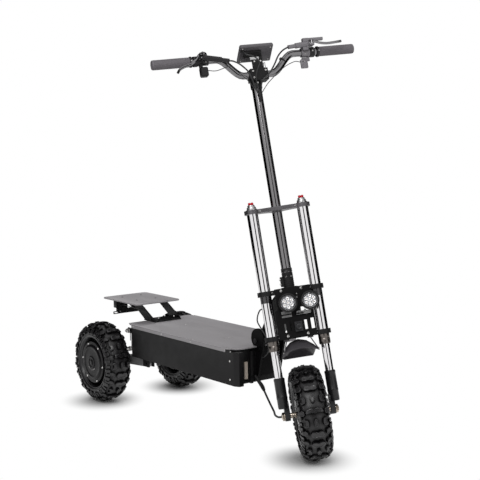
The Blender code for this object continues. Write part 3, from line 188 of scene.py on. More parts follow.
def floor():
    """It glows white except near the tyres, where it keeps their shadows; there its darker grey is painted shade round
    each foot.
    """
    mesh = bmesh.new()
    bmesh.ops.create_circle(mesh, cap_ends=True, segments=96, radius=9.0)
    data = bpy.data.meshes.new("Studio_floor")
    mesh.to_mesh(data)
    mesh.free()
    made = link_object("Studio_floor", data)
    made.location = (0, 0, -0.0005)
    look, shader = plain("Studio_floor", FLOOR_SHADE_GREY, 0.9, 0.1)
    tree = look.node_tree
    place = add_node(tree, "ShaderNodeNewGeometry").outputs["Position"]
    nearest = None
    for foot in (FRONT, RIGHT, LEFT):
        away = add_node(tree, "ShaderNodeVectorMath", {1: (foot.translation.x, foot.translation.y, 0.0)}, {0: place},
                        operation="DISTANCE").outputs["Value"]
        nearest = away if nearest is None else math_node(tree, "MINIMUM", nearest, away)
    fade = add_node(tree, "ShaderNodeMapRange", {"From Min": SHADOW_NEAR, "From Max": SHADOW_FAR},
                    {"Value": nearest}, interpolation_type="SMOOTHSTEP")
    path = add_node(tree, "ShaderNodeLightPath").outputs
    seen = math_node(tree, "MAXIMUM", path["Is Camera Ray"], path["Is Glossy Ray"])
    share = math_node(tree, "MULTIPLY", seen, fade.outputs[0])
    glow = add_node(tree, "ShaderNodeEmission")
    mix = add_node(tree, "ShaderNodeMixShader", None, {0: share, 1: shader.outputs[0], 2: glow.outputs[0]})
    tree.links.new(mix.outputs[0], tree.nodes["Material Output"].inputs["Surface"])
    data.materials.append(look)


def card(name, plan):
    """A black card round the object, seen only by glossy rays."""
    away = Vector((-math.sin(AZIMUTH), math.cos(AZIMUTH), 0.0))
    across = Vector((math.cos(AZIMUTH), math.sin(AZIMUTH), 0.0))
    corners = [away * ahead + across * side + Vector((0, 0, z)) for z in (CARD_BOTTOM, CARD_TOP)
               for side, ahead in plan]
    count = len(plan)
    data = bpy.data.meshes.new(name)
    data.from_pydata(corners, [], [(k, k + 1, count + k + 1, count + k) for k in range(count - 1)])
    data.materials.append(plain(name, 0.003, 1.0, 0.0)[0])
    made = link_object(name, data)
    made.visible_camera = made.visible_diffuse = made.visible_shadow = made.visible_transmission = False


def surroundings():
    bpy.context.scene.view_settings.view_transform = "Standard"
    world()
    floor()
    lamp("Key", (-2.2, -2.4, 3.2), (0, 0, 0.4), (1.6, 1.6), 62)
    lamp("Fill", (2.6, -1.6, 2.0), (0, 0, 0.5), (1.8, 1.8), 30)
    lamp("Back", (0.8, 3.0, 2.6), (0, 0, 0.5), (2.0, 1.2), 34)
    for name, plan in CARDS.items():
        card(name, plan)


# Materials
NOISE_RANGE = (0.3, 0.7)


def paint(name, colour, rough, metallic, vary=0.18, blotch=35.0, grain=900.0, bump=0.08, gloss=0.06,
          stretch=(1, 1, 1), specular=0.5, **sockets):
    """A material with its own grain, small unevenness of colour and change of gloss."""
    made = bpy.data.materials.new(name)
    made.use_nodes = True
    tree = made.node_tree
    shader = tree.nodes["Principled BSDF"]
    shader.inputs["Metallic"].default_value = metallic
    shader.inputs["Specular IOR Level"].default_value = specular
    for socket, value in sockets.items():
        shader.inputs[socket.replace("_", " ")].default_value = value
    place = add_node(tree, "ShaderNodeTexCoord").outputs["Object"]
    place = add_node(tree, "ShaderNodeMapping", {"Scale": stretch}, {"Vector": place}).outputs[0]
    cloud, fine = [add_node(tree, "ShaderNodeTexNoise", {"Scale": scale, "Detail": detail},
                            {"Vector": place}).outputs["Fac"] for scale, detail in ((blotch, 5.0), (grain, 3.0))]
    blend = math_node(tree, "ADD", math_node(tree, "MULTIPLY", fine, 0.5), math_node(tree, "MULTIPLY", cloud, 0.5))
    ramp = add_node(tree, "ShaderNodeValToRGB", None, {"Fac": blend})
    for element, position, share in zip(ramp.color_ramp.elements, NOISE_RANGE, (1 - vary, 1 + vary)):
        element.position = position
        element.color = (*[min(c * share, 1) for c in colour], 1)
    tree.links.new(ramp.outputs[0], shader.inputs["Base Color"])
    uneven = add_node(tree, "ShaderNodeMapRange", {"From Min": NOISE_RANGE[0], "From Max": NOISE_RANGE[1],
                                                   "To Min": max(rough - gloss, 0.02),
                                                   "To Max": min(rough + gloss, 1.0)}, {"Value": cloud})
    tree.links.new(uneven.outputs[0], shader.inputs["Roughness"])
    if bump:
        raised = add_node(tree, "ShaderNodeBump", {"Strength": bump, "Distance": 0.0004}, {"Height": fine})
        tree.links.new(raised.outputs[0], shader.inputs["Normal"])
    return made


def paint_gap_shade(material, reach, power, gloss):
    """Painted shade: the gaps between raised blocks are darkened and dulled by an ambient-occlusion mask, where shade
    falls.
    """
    tree = material.node_tree
    shader = tree.nodes["Principled BSDF"]
    near = add_node(tree, "ShaderNodeAmbientOcclusion", {"Distance": reach}, samples=8)
    clear = math_node(tree, "POWER", near.outputs["AO"], power)
    tree.links.new(math_node(tree, "MULTIPLY", clear, gloss), shader.inputs["Specular IOR Level"])
    shade_tint = add_node(tree, "ShaderNodeMix", data_type="RGBA", blend_type="MULTIPLY")
    shade_tint.inputs[0].default_value = 1.0
    tree.links.new(shader.inputs["Base Color"].links[0].from_socket, shade_tint.inputs[6])
    tree.links.new(clear, shade_tint.inputs[7])
    tree.links.new(shade_tint.outputs[2], shader.inputs["Base Color"])


PAINT = paint("Painted_black", (0.0048, 0.0045, 0.005), 0.44, 0.0, grain=1100, bump=0.16, specular=0.26)
MATT = paint("Matt_black", (0.0034, 0.0031, 0.0035), 0.48, 0.0, grain=1100, bump=0.16, specular=0.12)
# Painted sheen: the plates' grey is lighter than their own dark colour, standing in for the white surroundings they
# reflect at a grazing view. The stretched grain is their own sanded texture.
PLATE = paint("Sanded_plate_painted_sheen", (0.34, 0.326, 0.338), 0.44, 0.35, 0.1, 18, 1400, 0.22, stretch=(1, 0.15, 1))
CROWN = paint("Crown_grey", (0.105, 0.1, 0.106), 0.36, 0.75, 0.1, 30, 1300, 0.1)
CHROME = paint("Smoked_chrome", (0.8, 0.79, 0.8), 0.06, 1.0, 0.05, 25, 500, 0.01, 0.03, stretch=(1, 1, 0.06))
STEM = paint("Black_chrome", (0.215, 0.21, 0.215), 0.12, 1.0, 0.06, 25, 500, 0.01, 0.03, stretch=(1, 1, 0.06))
STEEL = paint("Zinc_screws", (0.62, 0.61, 0.6), 0.28, 1.0, 0.08, 120, 1500, 0.05)
ALLOY = paint("Satin_alloy", (0.5, 0.5, 0.5), 0.3, 0.9, 0.06, 60, 1200, 0.04)
RED = paint("Red_anodised", (0.62, 0.006, 0.022), 0.26, 0.55, 0.1, 120, 1500, 0.04)
TYRE = paint("Tyre_rubber", (0.0125, 0.0116, 0.013), 0.33, 0.0, 0.3, 28, 700, 0.3, 0.1, specular=0.46)
GRIP = paint("Grip_rubber", (0.14, 0.13, 0.142), 0.6, 0.0, 0.05, 40, 1600, 0.16)
HOSE = paint("Hose_rubber", (0.018, 0.018, 0.019), 0.38, 0.0, 0.15, 80, 1500, 0.15)
PLASTIC = paint("Moulded_black", (0.0085, 0.008, 0.0088), 0.44, 0.0, 0.14, 50, 1500, 0.16, specular=0.32)
DISPLAY = paint("Display_case", (0.1, 0.094, 0.102), 0.36, 0.0, 0.12, 50, 1500, 0.1)
FENDER = paint("Fender_plastic", (0.062, 0.058, 0.064), 0.36, 0.0, 0.12, 30, 900, 0.1)
CREAM = paint("Cream_plastic", (0.46, 0.4, 0.34), 0.46, 0.0, 0.06, 80, 1500, 0.08)
PACK = paint("Pack_film", (0.03, 0.07, 0.24), 0.42, 0.0, 0.15, 30, 600, 0.12)
CAST = paint("Cast_black", (0.015, 0.014, 0.0155), 0.34, 0.2, 0.14, 40, 1000, 0.14, specular=0.4)
HUB = paint("Hub_cover", (0.007, 0.0064, 0.0073), 0.26, 0.0, 0.12, 40, 1000, 0.08, specular=0.12)
BRAKE_GREY = paint("Brake_casting", (0.2, 0.19, 0.204), 0.36, 0.3, 0.06, 60, 1000, 0.08)
SILVER = paint("Silver_paint", (0.34, 0.34, 0.345), 0.34, 0.35, 0.06, 60, 1200, 0.05)
BRONZE = paint("Axle_bronze", (0.56, 0.49, 0.41), 0.26, 1.0, 0.12, 200, 1500, 0.08)
REFLECTOR = paint("Reflector", (0.3, 0.3, 0.305), 0.22, 1.0, 0.04, 200, 1500, 0.02)
GLASS = paint("Clear_lens", (0.95, 0.95, 0.96), 0.04, 0.0, 0.02, 60, 900, 0.0, 0.02, Transmission_Weight=1.0, IOR=1.06)
COLLAR = paint("Brushed_collar", (0.15, 0.135, 0.125), 0.3, 1.0, 0.04, 30, 900, 0.0, 0.02)
BAND = paint("Gunmetal_band", (0.085, 0.083, 0.086), 0.26, 1.0, 0.06, 30, 900, 0.03)
LEG = paint("Satin_black_leg", (0.01, 0.01, 0.011), 0.34, 0.0, 0.15, 40, 1000, 0.1, specular=0.42)
BOWL = paint("Lamp_bowls", (0.86, 0.86, 0.86), 0.26, 0.25, 0.04, 200, 1500, 0.02)
HORN = paint("Horn_grey", (0.04, 0.04, 0.043), 0.36, 0.6, 0.12, 60, 1200, 0.1)
GLOSS_BLACK = paint("Gloss_black_bar", (0.21, 0.206, 0.212), 0.11, 1.0, 0.06, 40, 1000, 0.0, 0.03)
BELL = paint("Bell_metal", (0.2, 0.195, 0.2), 0.2, 1.0, 0.08, 60, 1000, 0.04)
SCREEN = paint("Dark_glass", (0.008, 0.008, 0.01), 0.1, 0.0, 0.1, 60, 900, 0.0, 0.03, Coat_Weight=0.6)
RED_LENS = paint("Red_lens", (0.3, 0.006, 0.008), 0.16, 0.0, 0.12, 90, 900, 0.04, 0.04, Coat_Weight=0.5)
# Painted shade in the tyre's gaps between its blocks
paint_gap_shade(TYRE, 0.014, 2.6, 0.62)


# The kept CAD pieces: small rounded edges, smooth round sides
SAME_CORNER = 0.00001
SHARP_EDGE, ROUNDED_EDGE = math.radians(32), math.radians(35)


def smoother():
    """Merge the solids' loose corners and smooth all but the sharp edges."""
    group = bpy.data.node_groups.new("Merge_and_smooth", "GeometryNodeTree")
    for way in ("INPUT", "OUTPUT"):
        group.interface.new_socket("Geometry", in_out=way, socket_type="NodeSocketGeometry")
    made = add_node(group, "NodeGroupInput")
    made = add_node(group, "GeometryNodeMergeByDistance", {"Distance": SAME_CORNER}, {"Geometry": made.outputs[0]})
    made = add_node(group, "GeometryNodeSetShadeSmooth", {"Shade Smooth": True}, {"Geometry": made.outputs[0]},
                    domain="FACE")
    angle = add_node(group, "GeometryNodeInputMeshEdgeAngle").outputs["Unsigned Angle"]
    sharp = add_node(group, "FunctionNodeCompare", {"B": SHARP_EDGE}, {"A": angle}, data_type="FLOAT",
                     operation="GREATER_THAN")
    made = add_node(group, "GeometryNodeSetShadeSmooth", {"Shade Smooth": False},
                    {"Geometry": made.outputs[0], "Selection": sharp.outputs[0]}, domain="EDGE")
    add_node(group, "NodeGroupOutput", None, {0: made.outputs[0]})
    return group


SMOOTHER = smoother()


def round_edges(made, width):
    bevel = made.modifiers.new("Edges", "BEVEL")
    bevel.width = width
    bevel.segments = 2
    bevel.limit_method = "ANGLE"
    bevel.angle_limit = ROUNDED_EDGE
    bevel.harden_normals = True


def dress(look, *names, edge=0.0006):
    for name in names:
        made = NODES[name]
        made.data.materials.clear()
        made.data.materials.append(look)
        if "custom_normal" in made.data.attributes:
            made.data.attributes.remove(made.data.attributes["custom_normal"])
        made.modifiers.new("Smooth", "NODES").node_group = SMOOTHER
        if edge:
            round_edges(made, edge)


# Builders of the extra pieces. place is the frame that the numbers are written in.
def piece(name, build, place, body, look, slot, replaced=(), smooth=35.0, edge=0.0):
    """A piece whose mesh is filled by a function."""
    mesh = bmesh.new()
    build(mesh)
    bmesh.ops.recalc_face_normals(mesh, faces=mesh.faces)
    data = bpy.data.meshes.new(name)
    mesh.to_mesh(data)
    mesh.free()
    data.materials.append(look)
    data.transform(place)
    made = link_object(name, data)
    data.shade_smooth()
    data.set_sharp_from_angle(angle=math.radians(smooth))
    if edge:
        round_edges(made, edge)
    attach(made, body)
    if replaced:
        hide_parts(*replaced)
    return made


def circle(radius, steps, start=0.0):
    corners = [math.radians(start) + 2 * math.pi * k / steps for k in range(steps)]
    return [(radius * math.cos(corner), radius * math.sin(corner)) for corner in corners]


def skin(mesh, rings, closed=False):
    """Faces between neighbouring rings, any of which may be a single point."""
    for a, b in list(zip(rings, rings[1:])) + [(rings[-1], rings[0])] * closed:
        steps = max(len(a), len(b))
        for k in range(steps if steps > 1 else 0):
            n = (k + 1) % steps
            corners = (a[k % len(a)], a[n % len(a)], b[n % len(b)], b[k % len(b)])
            mesh.faces.new(list(dict.fromkeys(corners)))


def add_lathe(mesh, profile, place=Matrix(), steps=48, closed=False):
    """A turned shape from (radius, height) points round Z."""
    skin(mesh, [[mesh.verts.new(place @ Vector((x, y, height)))
                 for x, y in (circle(radius, steps) if radius else [(0, 0)])] for radius, height in profile],
         closed)


def lathe_piece(name, profile, place, body, look, slot, replaced=(), steps=48, closed=False, **more):
    piece(name, lambda mesh: add_lathe(mesh, profile, Matrix(), steps, closed), place, body, look, slot, replaced,
          **more)


def axis_matrix(start, end):
    start, end = Vector(start), Vector(end)
    return Matrix.Translation(start) @ (end - start).to_track_quat("Z", "Y").to_matrix().to_4x4()


def add_rod(mesh, start, end, radius, steps=24, chamfer=0.0):
    """A round bar."""
    length = (Vector(end) - Vector(start)).length
    profile = [(0, 0), (radius, 0), (radius, length), (0, length)]
    if chamfer:
        profile[1:3] = [(radius - chamfer, 0), (radius, chamfer), (radius, length - chamfer),
                        (radius - chamfer, length)]
    add_lathe(mesh, profile, axis_matrix(start, end), steps)


def add_washer(mesh, inner, outer, height, place, steps):
    add_lathe(mesh, [(inner, 0.0), (outer, 0.0), (outer, height), (inner, height)], place, steps, closed=True)


def add_box(mesh, size, centre, place=Matrix()):
    bmesh.ops.create_cube(mesh, size=1.0, matrix=place @ at(*centre, Matrix.Diagonal((*size, 1.0))))


def solid_piece(name, place, body, look, slot, *parts, **more):
    """A piece of boxes, each a size and a centre, and rods, each two ends and a radius."""
    def build(mesh):
        for part in parts:
            (add_box if len(part) == 2 else add_rod)(mesh, *part)
    piece(name, build, place, body, look, slot, **more)


def add_prism(mesh, outline, thickness, place=Matrix(), centre=0.0):
    low, high = [[mesh.verts.new(place @ Vector((x, y, centre + way * thickness / 2))) for x, y in outline]
                 for way in (-1, 1)]
    mesh.faces.new(low[::-1])
    mesh.faces.new(high)
    skin(mesh, [low, high])


def add_tube(mesh, route, radius, steps=12):
    """A round tube along points, its ends closed. radius is a number or one for each point."""
    radii = radius if isinstance(radius, list) else [radius] * len(route)
    normal = (route[1] - route[0]).orthogonal()
    rings = []
    for k, point in enumerate(route):
        ahead = (route[min(k + 1, len(route) - 1)] - route[max(k - 1, 0)]).normalized()
        normal = (normal - ahead * normal.dot(ahead)).normalized()
        side = ahead.cross(normal)
        rings.append([mesh.verts.new(point + (normal * x + side * y) * radii[k]) for x, y in circle(1.0, steps)])
    skin(mesh, rings)
    mesh.faces.new(rings[0][::-1])
    mesh.faces.new(rings[-1])


def through(points, per_span=4):
    """A smooth curve through points."""
    ends = [2 * Vector(points[0]) - Vector(points[1])] + [Vector(p) for p in points]
    ends.append(2 * Vector(points[-1]) - Vector(points[-2]))
    route = []
    for index in range(1, len(ends) - 2):
        p0, p1, p2, p3 = ends[index - 1:index + 3]
        for step in range(per_span):
            t = step / per_span
            route.append(0.5 * ((2 * p1) + (p2 - p0) * t + (2 * p0 - 5 * p1 + 4 * p2 - p3) * t * t
                                + (3 * p1 - p0 - 3 * p2 + p3) * t ** 3))
    route.append(ends[-2])
    return route


def arc(centre, radius, start, end, count):
    """Points from the angle start to end, in degrees."""
    return [(centre[0] + radius * math.cos(math.radians(start + (end - start) * k / count)),
             centre[1] + radius * math.sin(math.radians(start + (end - start) * k / count)))
            for k in range(count + 1)]


# Outlines of screw heads and the size of their sockets, as shares of a head's radius and height
HEADS = {"hex": [(0, 1), (0.86, 1), (1, 0.86), (1, 0), (0, 0)], "cap": [(1, 0), (1, 0.8), (0.9, 1)],
         "pan": [(1, 0), (0.96, 0.396), (0.8, 0.72)]}
SOCKET_RADIUS, SOCKET_FLOOR = 0.5, 0.35
HEAD_STEPS = 18


def add_screw(mesh, place, radius, height, kind):
    """A screw head that stands along +Z of its place, with a hexagon socket or as a hexagon head."""
    outline = [(radius * r, height * h) for r, h in HEADS[kind]]
    if kind == "hex":
        add_lathe(mesh, outline, place, 6)
        return
    rings = [[(x, y, h) for x, y in circle(r, HEAD_STEPS)] for r, h in outline]
    flat = radius * SOCKET_RADIUS * math.cos(math.pi / 6)
    socket = []
    for k in range(HEAD_STEPS):
        corner = 2 * math.pi * k / HEAD_STEPS
        reach = flat / math.cos(corner % (math.pi / 3) - math.pi / 6)
        socket.append((reach * math.cos(corner), reach * math.sin(corner)))
    rings += [[(x, y, h) for x, y in socket] for h in (height, height * SOCKET_FLOOR)]
    rings = [[mesh.verts.new(place @ Vector(spot)) for spot in ring] for ring in rings]
    skin(mesh, rings)
    mesh.faces.new(rings[-1])
    mesh.faces.new(rings[0][::-1])


DOWN = turn(180, "X")
FORWARD = turn(90, "X")       # a screw's head towards -Y
TO_RIGHT = turn(-90, "Y")     # towards -X
TO_LEFT = turn(90, "Y")
SIDE_VIEW = Matrix(((0, 0, 1, 0), (1, 0, 0, 0), (0, 1, 0, 0), (0, 0, 0, 1)))
SIDES = ((-1, "right", TO_RIGHT), (1, "left", TO_LEFT))


def mirrored(x, ys, zs):
    """Spots on both sides, at every y and z."""
    return [(side * x, y, z) for side in (-1, 1) for y in ys for z in zs]


def screws(name, place, body, *groups, look=None):
    """Small fasteners in one piece. Each group is (face, radius, height, kind, spots)."""
    def heads(mesh):
        for face, radius, height, kind, spots in groups:
            for spot in spots:
                add_screw(mesh, at(*spot, face), radius, height, kind)
    piece(name, heads, place, body, look or STEEL, "steel")


# Tyres
CARCASS = [(0, 0.1322), (0.01, 0.1318), (0.02, 0.13), (0.0285, 0.1262), (0.036, 0.1205), (0.041, 0.114),
           (0.043, 0.106), (0.0428, 0.1), (0.0418, 0.094), (0.04, 0.0905), (0.0372, 0.0884), (0.033, 0.0862),
           (0.029, 0.0834)]
TREAD_R, TREAD_ROWS, TREAD_LIFT = 0.1385, 25, 1.22
# The outer cover of a rear hub stands out further
HUB_LIFT = 0.0045
# The hub bolts' circle, and where the silver arcs of painted highlight sit on the covers
HUB_BOLTS_R, HUB_BOLTS_X, HIGHLIGHT_ARC_R, HIGHLIGHT_ARC_X = 0.0686, 0.0346, 0.027, 0.0389


def section(v):
    """Point (x, radius) and outward direction on the tyre's body at an arc length from its middle."""
    side = 1 if v >= 0 else -1
    left = abs(v)
    for (xa, ra), (xb, rb) in zip(CARCASS, CARCASS[1:]):
        span = math.hypot(xb - xa, rb - ra)
        if left <= span:
            t = left / span
            return side * (xa + (xb - xa) * t), ra + (rb - ra) * t
        left -= span
    return side * CARCASS[-1][0], CARCASS[-1][1]


def section_normal(v):
    (xa, ra), (xb, rb) = section(v - 0.004), section(v + 0.004)
    length = math.hypot(xb - xa, rb - ra)
    return (ra - rb) / length, (xb - xa) / length


def tread_point(u, v, height):
    """The spot at arc lengths around and across the tyre and at a height over its body."""
    x, radius = section(v)
    nx, nr = section_normal(v)
    height *= TREAD_LIFT if height > 0 else 1.0
    radius += nr * height
    return Vector((x + nx * height, radius * math.sin(u / TREAD_R), radius * math.cos(u / TREAD_R)))


def tread_block(mesh, outline, u, v, height, dish=0.0009, flip=1):
    """A knob: drafted sides, a rounded brim and a slightly hollow top, drawn as (around, across)."""
    points = [(u + a, v + b * flip) for a, b in outline]
    cu, cv = [sum(values) / len(points) for values in zip(*points)]
    rings = [[mesh.verts.new(tread_point(cu + (a - cu) * grow, cv + (b - cv) * grow, h)) for a, b in points]
             for grow, h in ((1.02, -0.0012), (0.98, height * 0.8), (0.94, height * 0.95), (0.86, height),
                             (0.72, height), (0.62, height - dish))]
    skin(mesh, rings)
    mesh.faces.new(rings[-1])


def tyre_mesh(mesh):
    profile = [(r, x) for x, r in reversed(CARCASS)] + [(r, -x) for x, r in CARCASS[1:]]
    inner = [(0.0838, -0.025), (0.099, -0.0365), (0.118, -0.0372), (0.1262, -0.03), (0.129, 0), (0.1262, 0.03),
             (0.118, 0.0372), (0.099, 0.0365), (0.0838, 0.025)]
    add_lathe(mesh, profile + inner, turn(90, "Y"), 150, closed=True)
    for side in (-1, 1):
        for radius, x in ((0.0975, 0.0438), (0.0905, 0.04)):
            ring = [(radius + 0.0013, side * (x - 0.001)), (radius + 0.0007, side * (x + 0.0006)),
                    (radius - 0.0007, side * (x + 0.0006)), (radius - 0.0013, side * (x - 0.001))]
            add_lathe(mesh, ring, turn(90, "Y"), 120, closed=True)
    pitch = 2 * math.pi * TREAD_R / TREAD_ROWS
    lens = [(0.0118 * a, 0.0058 * b) for a, b in circle(1.0, 12)]
    bow = [(-0.0125, 0.003), (-0.0105, -0.0055), (-0.004, -0.0075), (0.004, -0.0075), (0.0105, -0.0055),
           (0.0125, 0.003), (0.0085, 0.006), (0.004, 0.0015), (-0.004, 0.0015), (-0.0085, 0.006)]
    twin = [(-0.0078, 0), (-0.0092, -0.0075), (-0.008, -0.015), (-0.003, -0.0185), (0.003, -0.0185),
            (0.008, -0.015), (0.0092, -0.0075), (0.0062, 0), (0.0092, 0.0075), (0.008, 0.015), (0.003, 0.0185),
            (-0.003, 0.0185), (-0.008, 0.015), (-0.0092, 0.0075)]
    wide = [(-0.0068, -0.0225), (-0.003, -0.0245), (0.0055, -0.0205), (0.0078, -0.008), (0.005, 0),
            (0.0078, 0.008), (0.0055, 0.0205), (-0.003, 0.0245), (-0.0068, 0.0225), (-0.0052, 0.0085), (-0.0072, 0),
            (-0.0052, -0.0085)]
    square = [(-0.0095, -0.004), (-0.005, -0.009), (0.0045, -0.0078), (0.0095, -0.001), (0.006, 0.0078),
              (-0.0045, 0.0088)]
    knob = [(-0.0068, -0.009), (0.006, -0.009), (0.0082, -0.002), (0.0062, 0.01), (-0.0052, 0.01),
            (-0.0078, -0.001)]
    small = [(-0.0052, -0.007), (0.0052, -0.007), (0.006, 0.0062), (-0.006, 0.0062)]
    # The middle block and its height; the blocks beside it with their place and height; the shoulder knobs' place
    rows = {"wide": (wide, 0.0079, square, -0.003, 0.035, 0.007, 0.35),
            "oval": (lens, 0.0078, bow, 0.0, 0.0265, 0.0076, 0.5),
            "pair": (twin, 0.0079, square, 0.0035, 0.0325, 0.0072, 0.35)}
    for row in range(TREAD_ROWS):
        u = row * pitch
        middle, high, beside, ahead, across, low, shift = rows[("wide", "oval", "pair", "pair", "oval")[row % 5]]
        tread_block(mesh, middle, u, 0.0, high)
        for side in (-1, 1):
            tread_block(mesh, beside, u + ahead, side * across, low, flip=side)
        for side in (-1, 1):
            tread_block(mesh, knob, u + pitch * (shift + 0.08), side * 0.0475, 0.0044, dish=0.0006, flip=side)
            tread_block(mesh, small, u - pitch * 0.08, side * 0.047, 0.0036, dish=0.0004, flip=side)


def hub_mesh(mesh, outer):
    """A hub with its two covers. outer is the side of a rear wheel's outer cover, and 0 for the front wheel."""
    cover = [
        (0, 0.0418), (0.0085, 0.0418), (0.01, 0.041), (0.0105, 0.0398), (0.015, 0.0398), (0.0155, 0.041),
        (0.017, 0.0418), (0.0205, 0.0416), (0.0222, 0.0404), (0.0235, 0.0392), (0.047, 0.0372), (0.049, 0.0376),
        (0.052, 0.0388), (0.056, 0.0384), (0.062, 0.0366), (0.064, 0.0352), (0.073, 0.0346), (0.0738, 0.0338),
        (0.074, 0.011), (0.0765, 0.008), (0.08, 0.008), (0.0812, 0.015), (0.0818, 0.028), (0.0824, 0.029),
        (0.083, 0.0284), (0.083, 0.0262)]
    raised = [(r, z + HUB_LIFT if z > 0.03 and r < 0.074 else z) for r, z in cover]
    left, right = raised if outer > 0 else cover, raised if outer < 0 else cover
    add_lathe(mesh, left + [(r, -z) for r, z in reversed(right)], turn(90, "Y"), 96)


def wheels():
    for name, place, outer in (("front", FRONT, 0), ("right", RIGHT, -1), ("left", LEFT, 1)):
        body = name + "_wheel"
        covers = [(side, face, HUB_LIFT if side == outer else 0.0) for side, _, face in SIDES]

        # Thin silver arcs on the hub covers: a painted highlight where a cover catches the light
        def highlight_arcs(mesh):
            for side, _, lift in covers:
                line = [Vector((side * (HIGHLIGHT_ARC_X + lift), y, z)) for y, z in arc((0, 0), HIGHLIGHT_ARC_R, -140, -40, 10)]
                add_tube(mesh, line, 0.0008, 8)
        piece(name + "_tyre_tread", tyre_mesh, place, body, TYRE, "tyre", (name + "_tyre",), 32)
        piece(name + "_hub_motor", lambda mesh: hub_mesh(mesh, outer), place, body, HUB, "cast_black",
              (name + "_hub",), 30)
        screws(name + "_hub_screws", place, body, *[
            (face, 0.0042, 0.0036, "pan",
             [(side * (HUB_BOLTS_X + lift), y, z) for y, z in circle(HUB_BOLTS_R, 6, 5)])
            for side, face, lift in covers])
        piece(name + "_hub_highlight_arcs", highlight_arcs, place, body, STEEL, "steel")


def free_cord(name, place, points, radius, body, replaced=(), per_span=4):
    """A cord through points. The routes are those of the part's source."""
    route = [place @ spot for spot in through(points, per_span)]
    made = piece(name, lambda mesh: add_tube(mesh, route, radius), Matrix(), body, HOSE, "cable", replaced, 60)


# Measures of the bar and the deck, as in the part's source
BAR_Z, BAR_RISE, BAR_FORWARD, BAR_HALF = 1.0305, 0.057, 0.0082, 0.3247
GRIP_LENGTH, CLAMP_IN, CYLINDER_REACH, LEFT_SHORTER = 0.124, 0.0412, 0.07, 0.014
RIGHT_FALL, LEFT_FALL = 0.2, 0.086
DECK_FRONT, DECK_BOTTOM, DECK_TOP = 0.2, 0.1792, 0.2907
GRIP_Z, GRIP_IN = BAR_Z + BAR_RISE, BAR_HALF - GRIP_LENGTH
BAR_WIRES_Y = -BAR_FORWARD - 0.0235
# Where the bar's leads go into the stem
GATHER_X, GATHER_Y = -0.0078, -0.0235


def bar_cords():
    y, z = BAR_WIRES_Y, GRIP_Z
    end_x = GRIP_IN - CLAMP_IN - CYLINDER_REACH + GAP
    right_z = z + 0.005 - RIGHT_FALL * (CYLINDER_REACH + 0.014)
    left_z = z + 0.021 - LEFT_FALL * (CYLINDER_REACH - LEFT_SHORTER + 0.014)
    left_x = end_x + LEFT_SHORTER
    for name, radius, stiffness, replaced, points in (
            ("right_brake_hose", 0.0024, "stiff", ("control_loom",),
             [(-end_x + 4 * GAP, y, right_z), (-end_x + 0.012, y - 0.002, right_z - 0.003),
              (-0.064, -0.04, 1.0625), (-0.0525, -0.043, 1.0505), (-0.0407, -0.046, 1.0341),
              (-0.0325, -0.045, 1.0131), (-0.025, -0.039, 0.99), (-0.0108, -0.025, 0.964)]),
            ("left_brake_hose", 0.0024, "stiff", (),
             [(left_x - 4 * GAP, y, left_z), (left_x - 0.0205, -0.035, left_z - 0.0095), (0.064, -0.04, 1.0755),
              (0.046, -0.044, 1.0485), (0.026, -0.045, 1.0236), (0, -0.04, 1.0009), (-0.0045, -0.0255, 0.964)]),
            ("screen_lead", 0.0021, "stiff", (),
             [(-0.046, -0.0455, 1.0945), (-0.04, -0.058, 1.083), (-0.0224, -0.06, 1.0765),
              (-0.0083, -0.058, 1.0657), (-0.0041, -0.056, 1.0529), (-0.013, -0.052, 1.035),
              (-0.019, -0.046, 1.012), (-0.015, -0.038, 0.99), (GATHER_X, -0.0275, 0.964)]),
            ("switch_lead", 0.0012, "medium", (),
             [(-0.1544, y + 0.016, z - 0.032), (-0.13, y + 0.012, z - 0.036), (-0.092, y - 0.004, z - 0.03),
              (-0.079, -0.034, 1.048), (-0.048, -0.038, 1.014), (-0.03, -0.034, 0.992), (-0.0095, -0.0215, 0.966)]),
            ("throttle_lead", 0.0012, "medium", (),
             [(0.151, -0.021, z - 0.032), (0.1375, -0.024, z - 0.0325), (0.1224, -0.0265, 1.0577),
              (0.105, -0.027, 1.053), (0.088, -0.024, 1.046), (0.068, -0.0225, 1.0335), (0.045, -0.023, 1.016),
              (0.02, -0.026, 0.995), (-0.004, -0.0215, 0.966)])):
        free_cord(name, BAR, points, radius, "steering", replaced)

    def sleeve(mesh):
        route = through([(GATHER_X, GATHER_Y - 0.001, 0.974), (GATHER_X, GATHER_Y, 0.966),
                         (GATHER_X, GATHER_Y + 0.0005, 0.956), (GATHER_X + 0.0004, GATHER_Y + 0.0045, 0.946)])
        add_tube(mesh, route, [0.0078 - 0.0032 * k / (len(route) - 1) for k in range(len(route))], 20)
        add_tube(mesh, [Vector((GATHER_X, GATHER_Y - 0.0004, 0.9665)), Vector((GATHER_X, GATHER_Y, 0.963))],
                 0.0081, 20)
    piece("loom_sleeve", sleeve, BAR, "steering", PLASTIC, "cable", smooth=40)

    solid_piece("wire_ties", BAR, "steering", PLASTIC, "black_plastic",
                ((-0.0955, -BAR_FORWARD, 1.076), (-0.099, -BAR_FORWARD, 1.0785), 0.0122, 28),
                ((0.0855, -BAR_FORWARD, 1.0668), (0.0887, -BAR_FORWARD, 1.0693), 0.0122, 28))


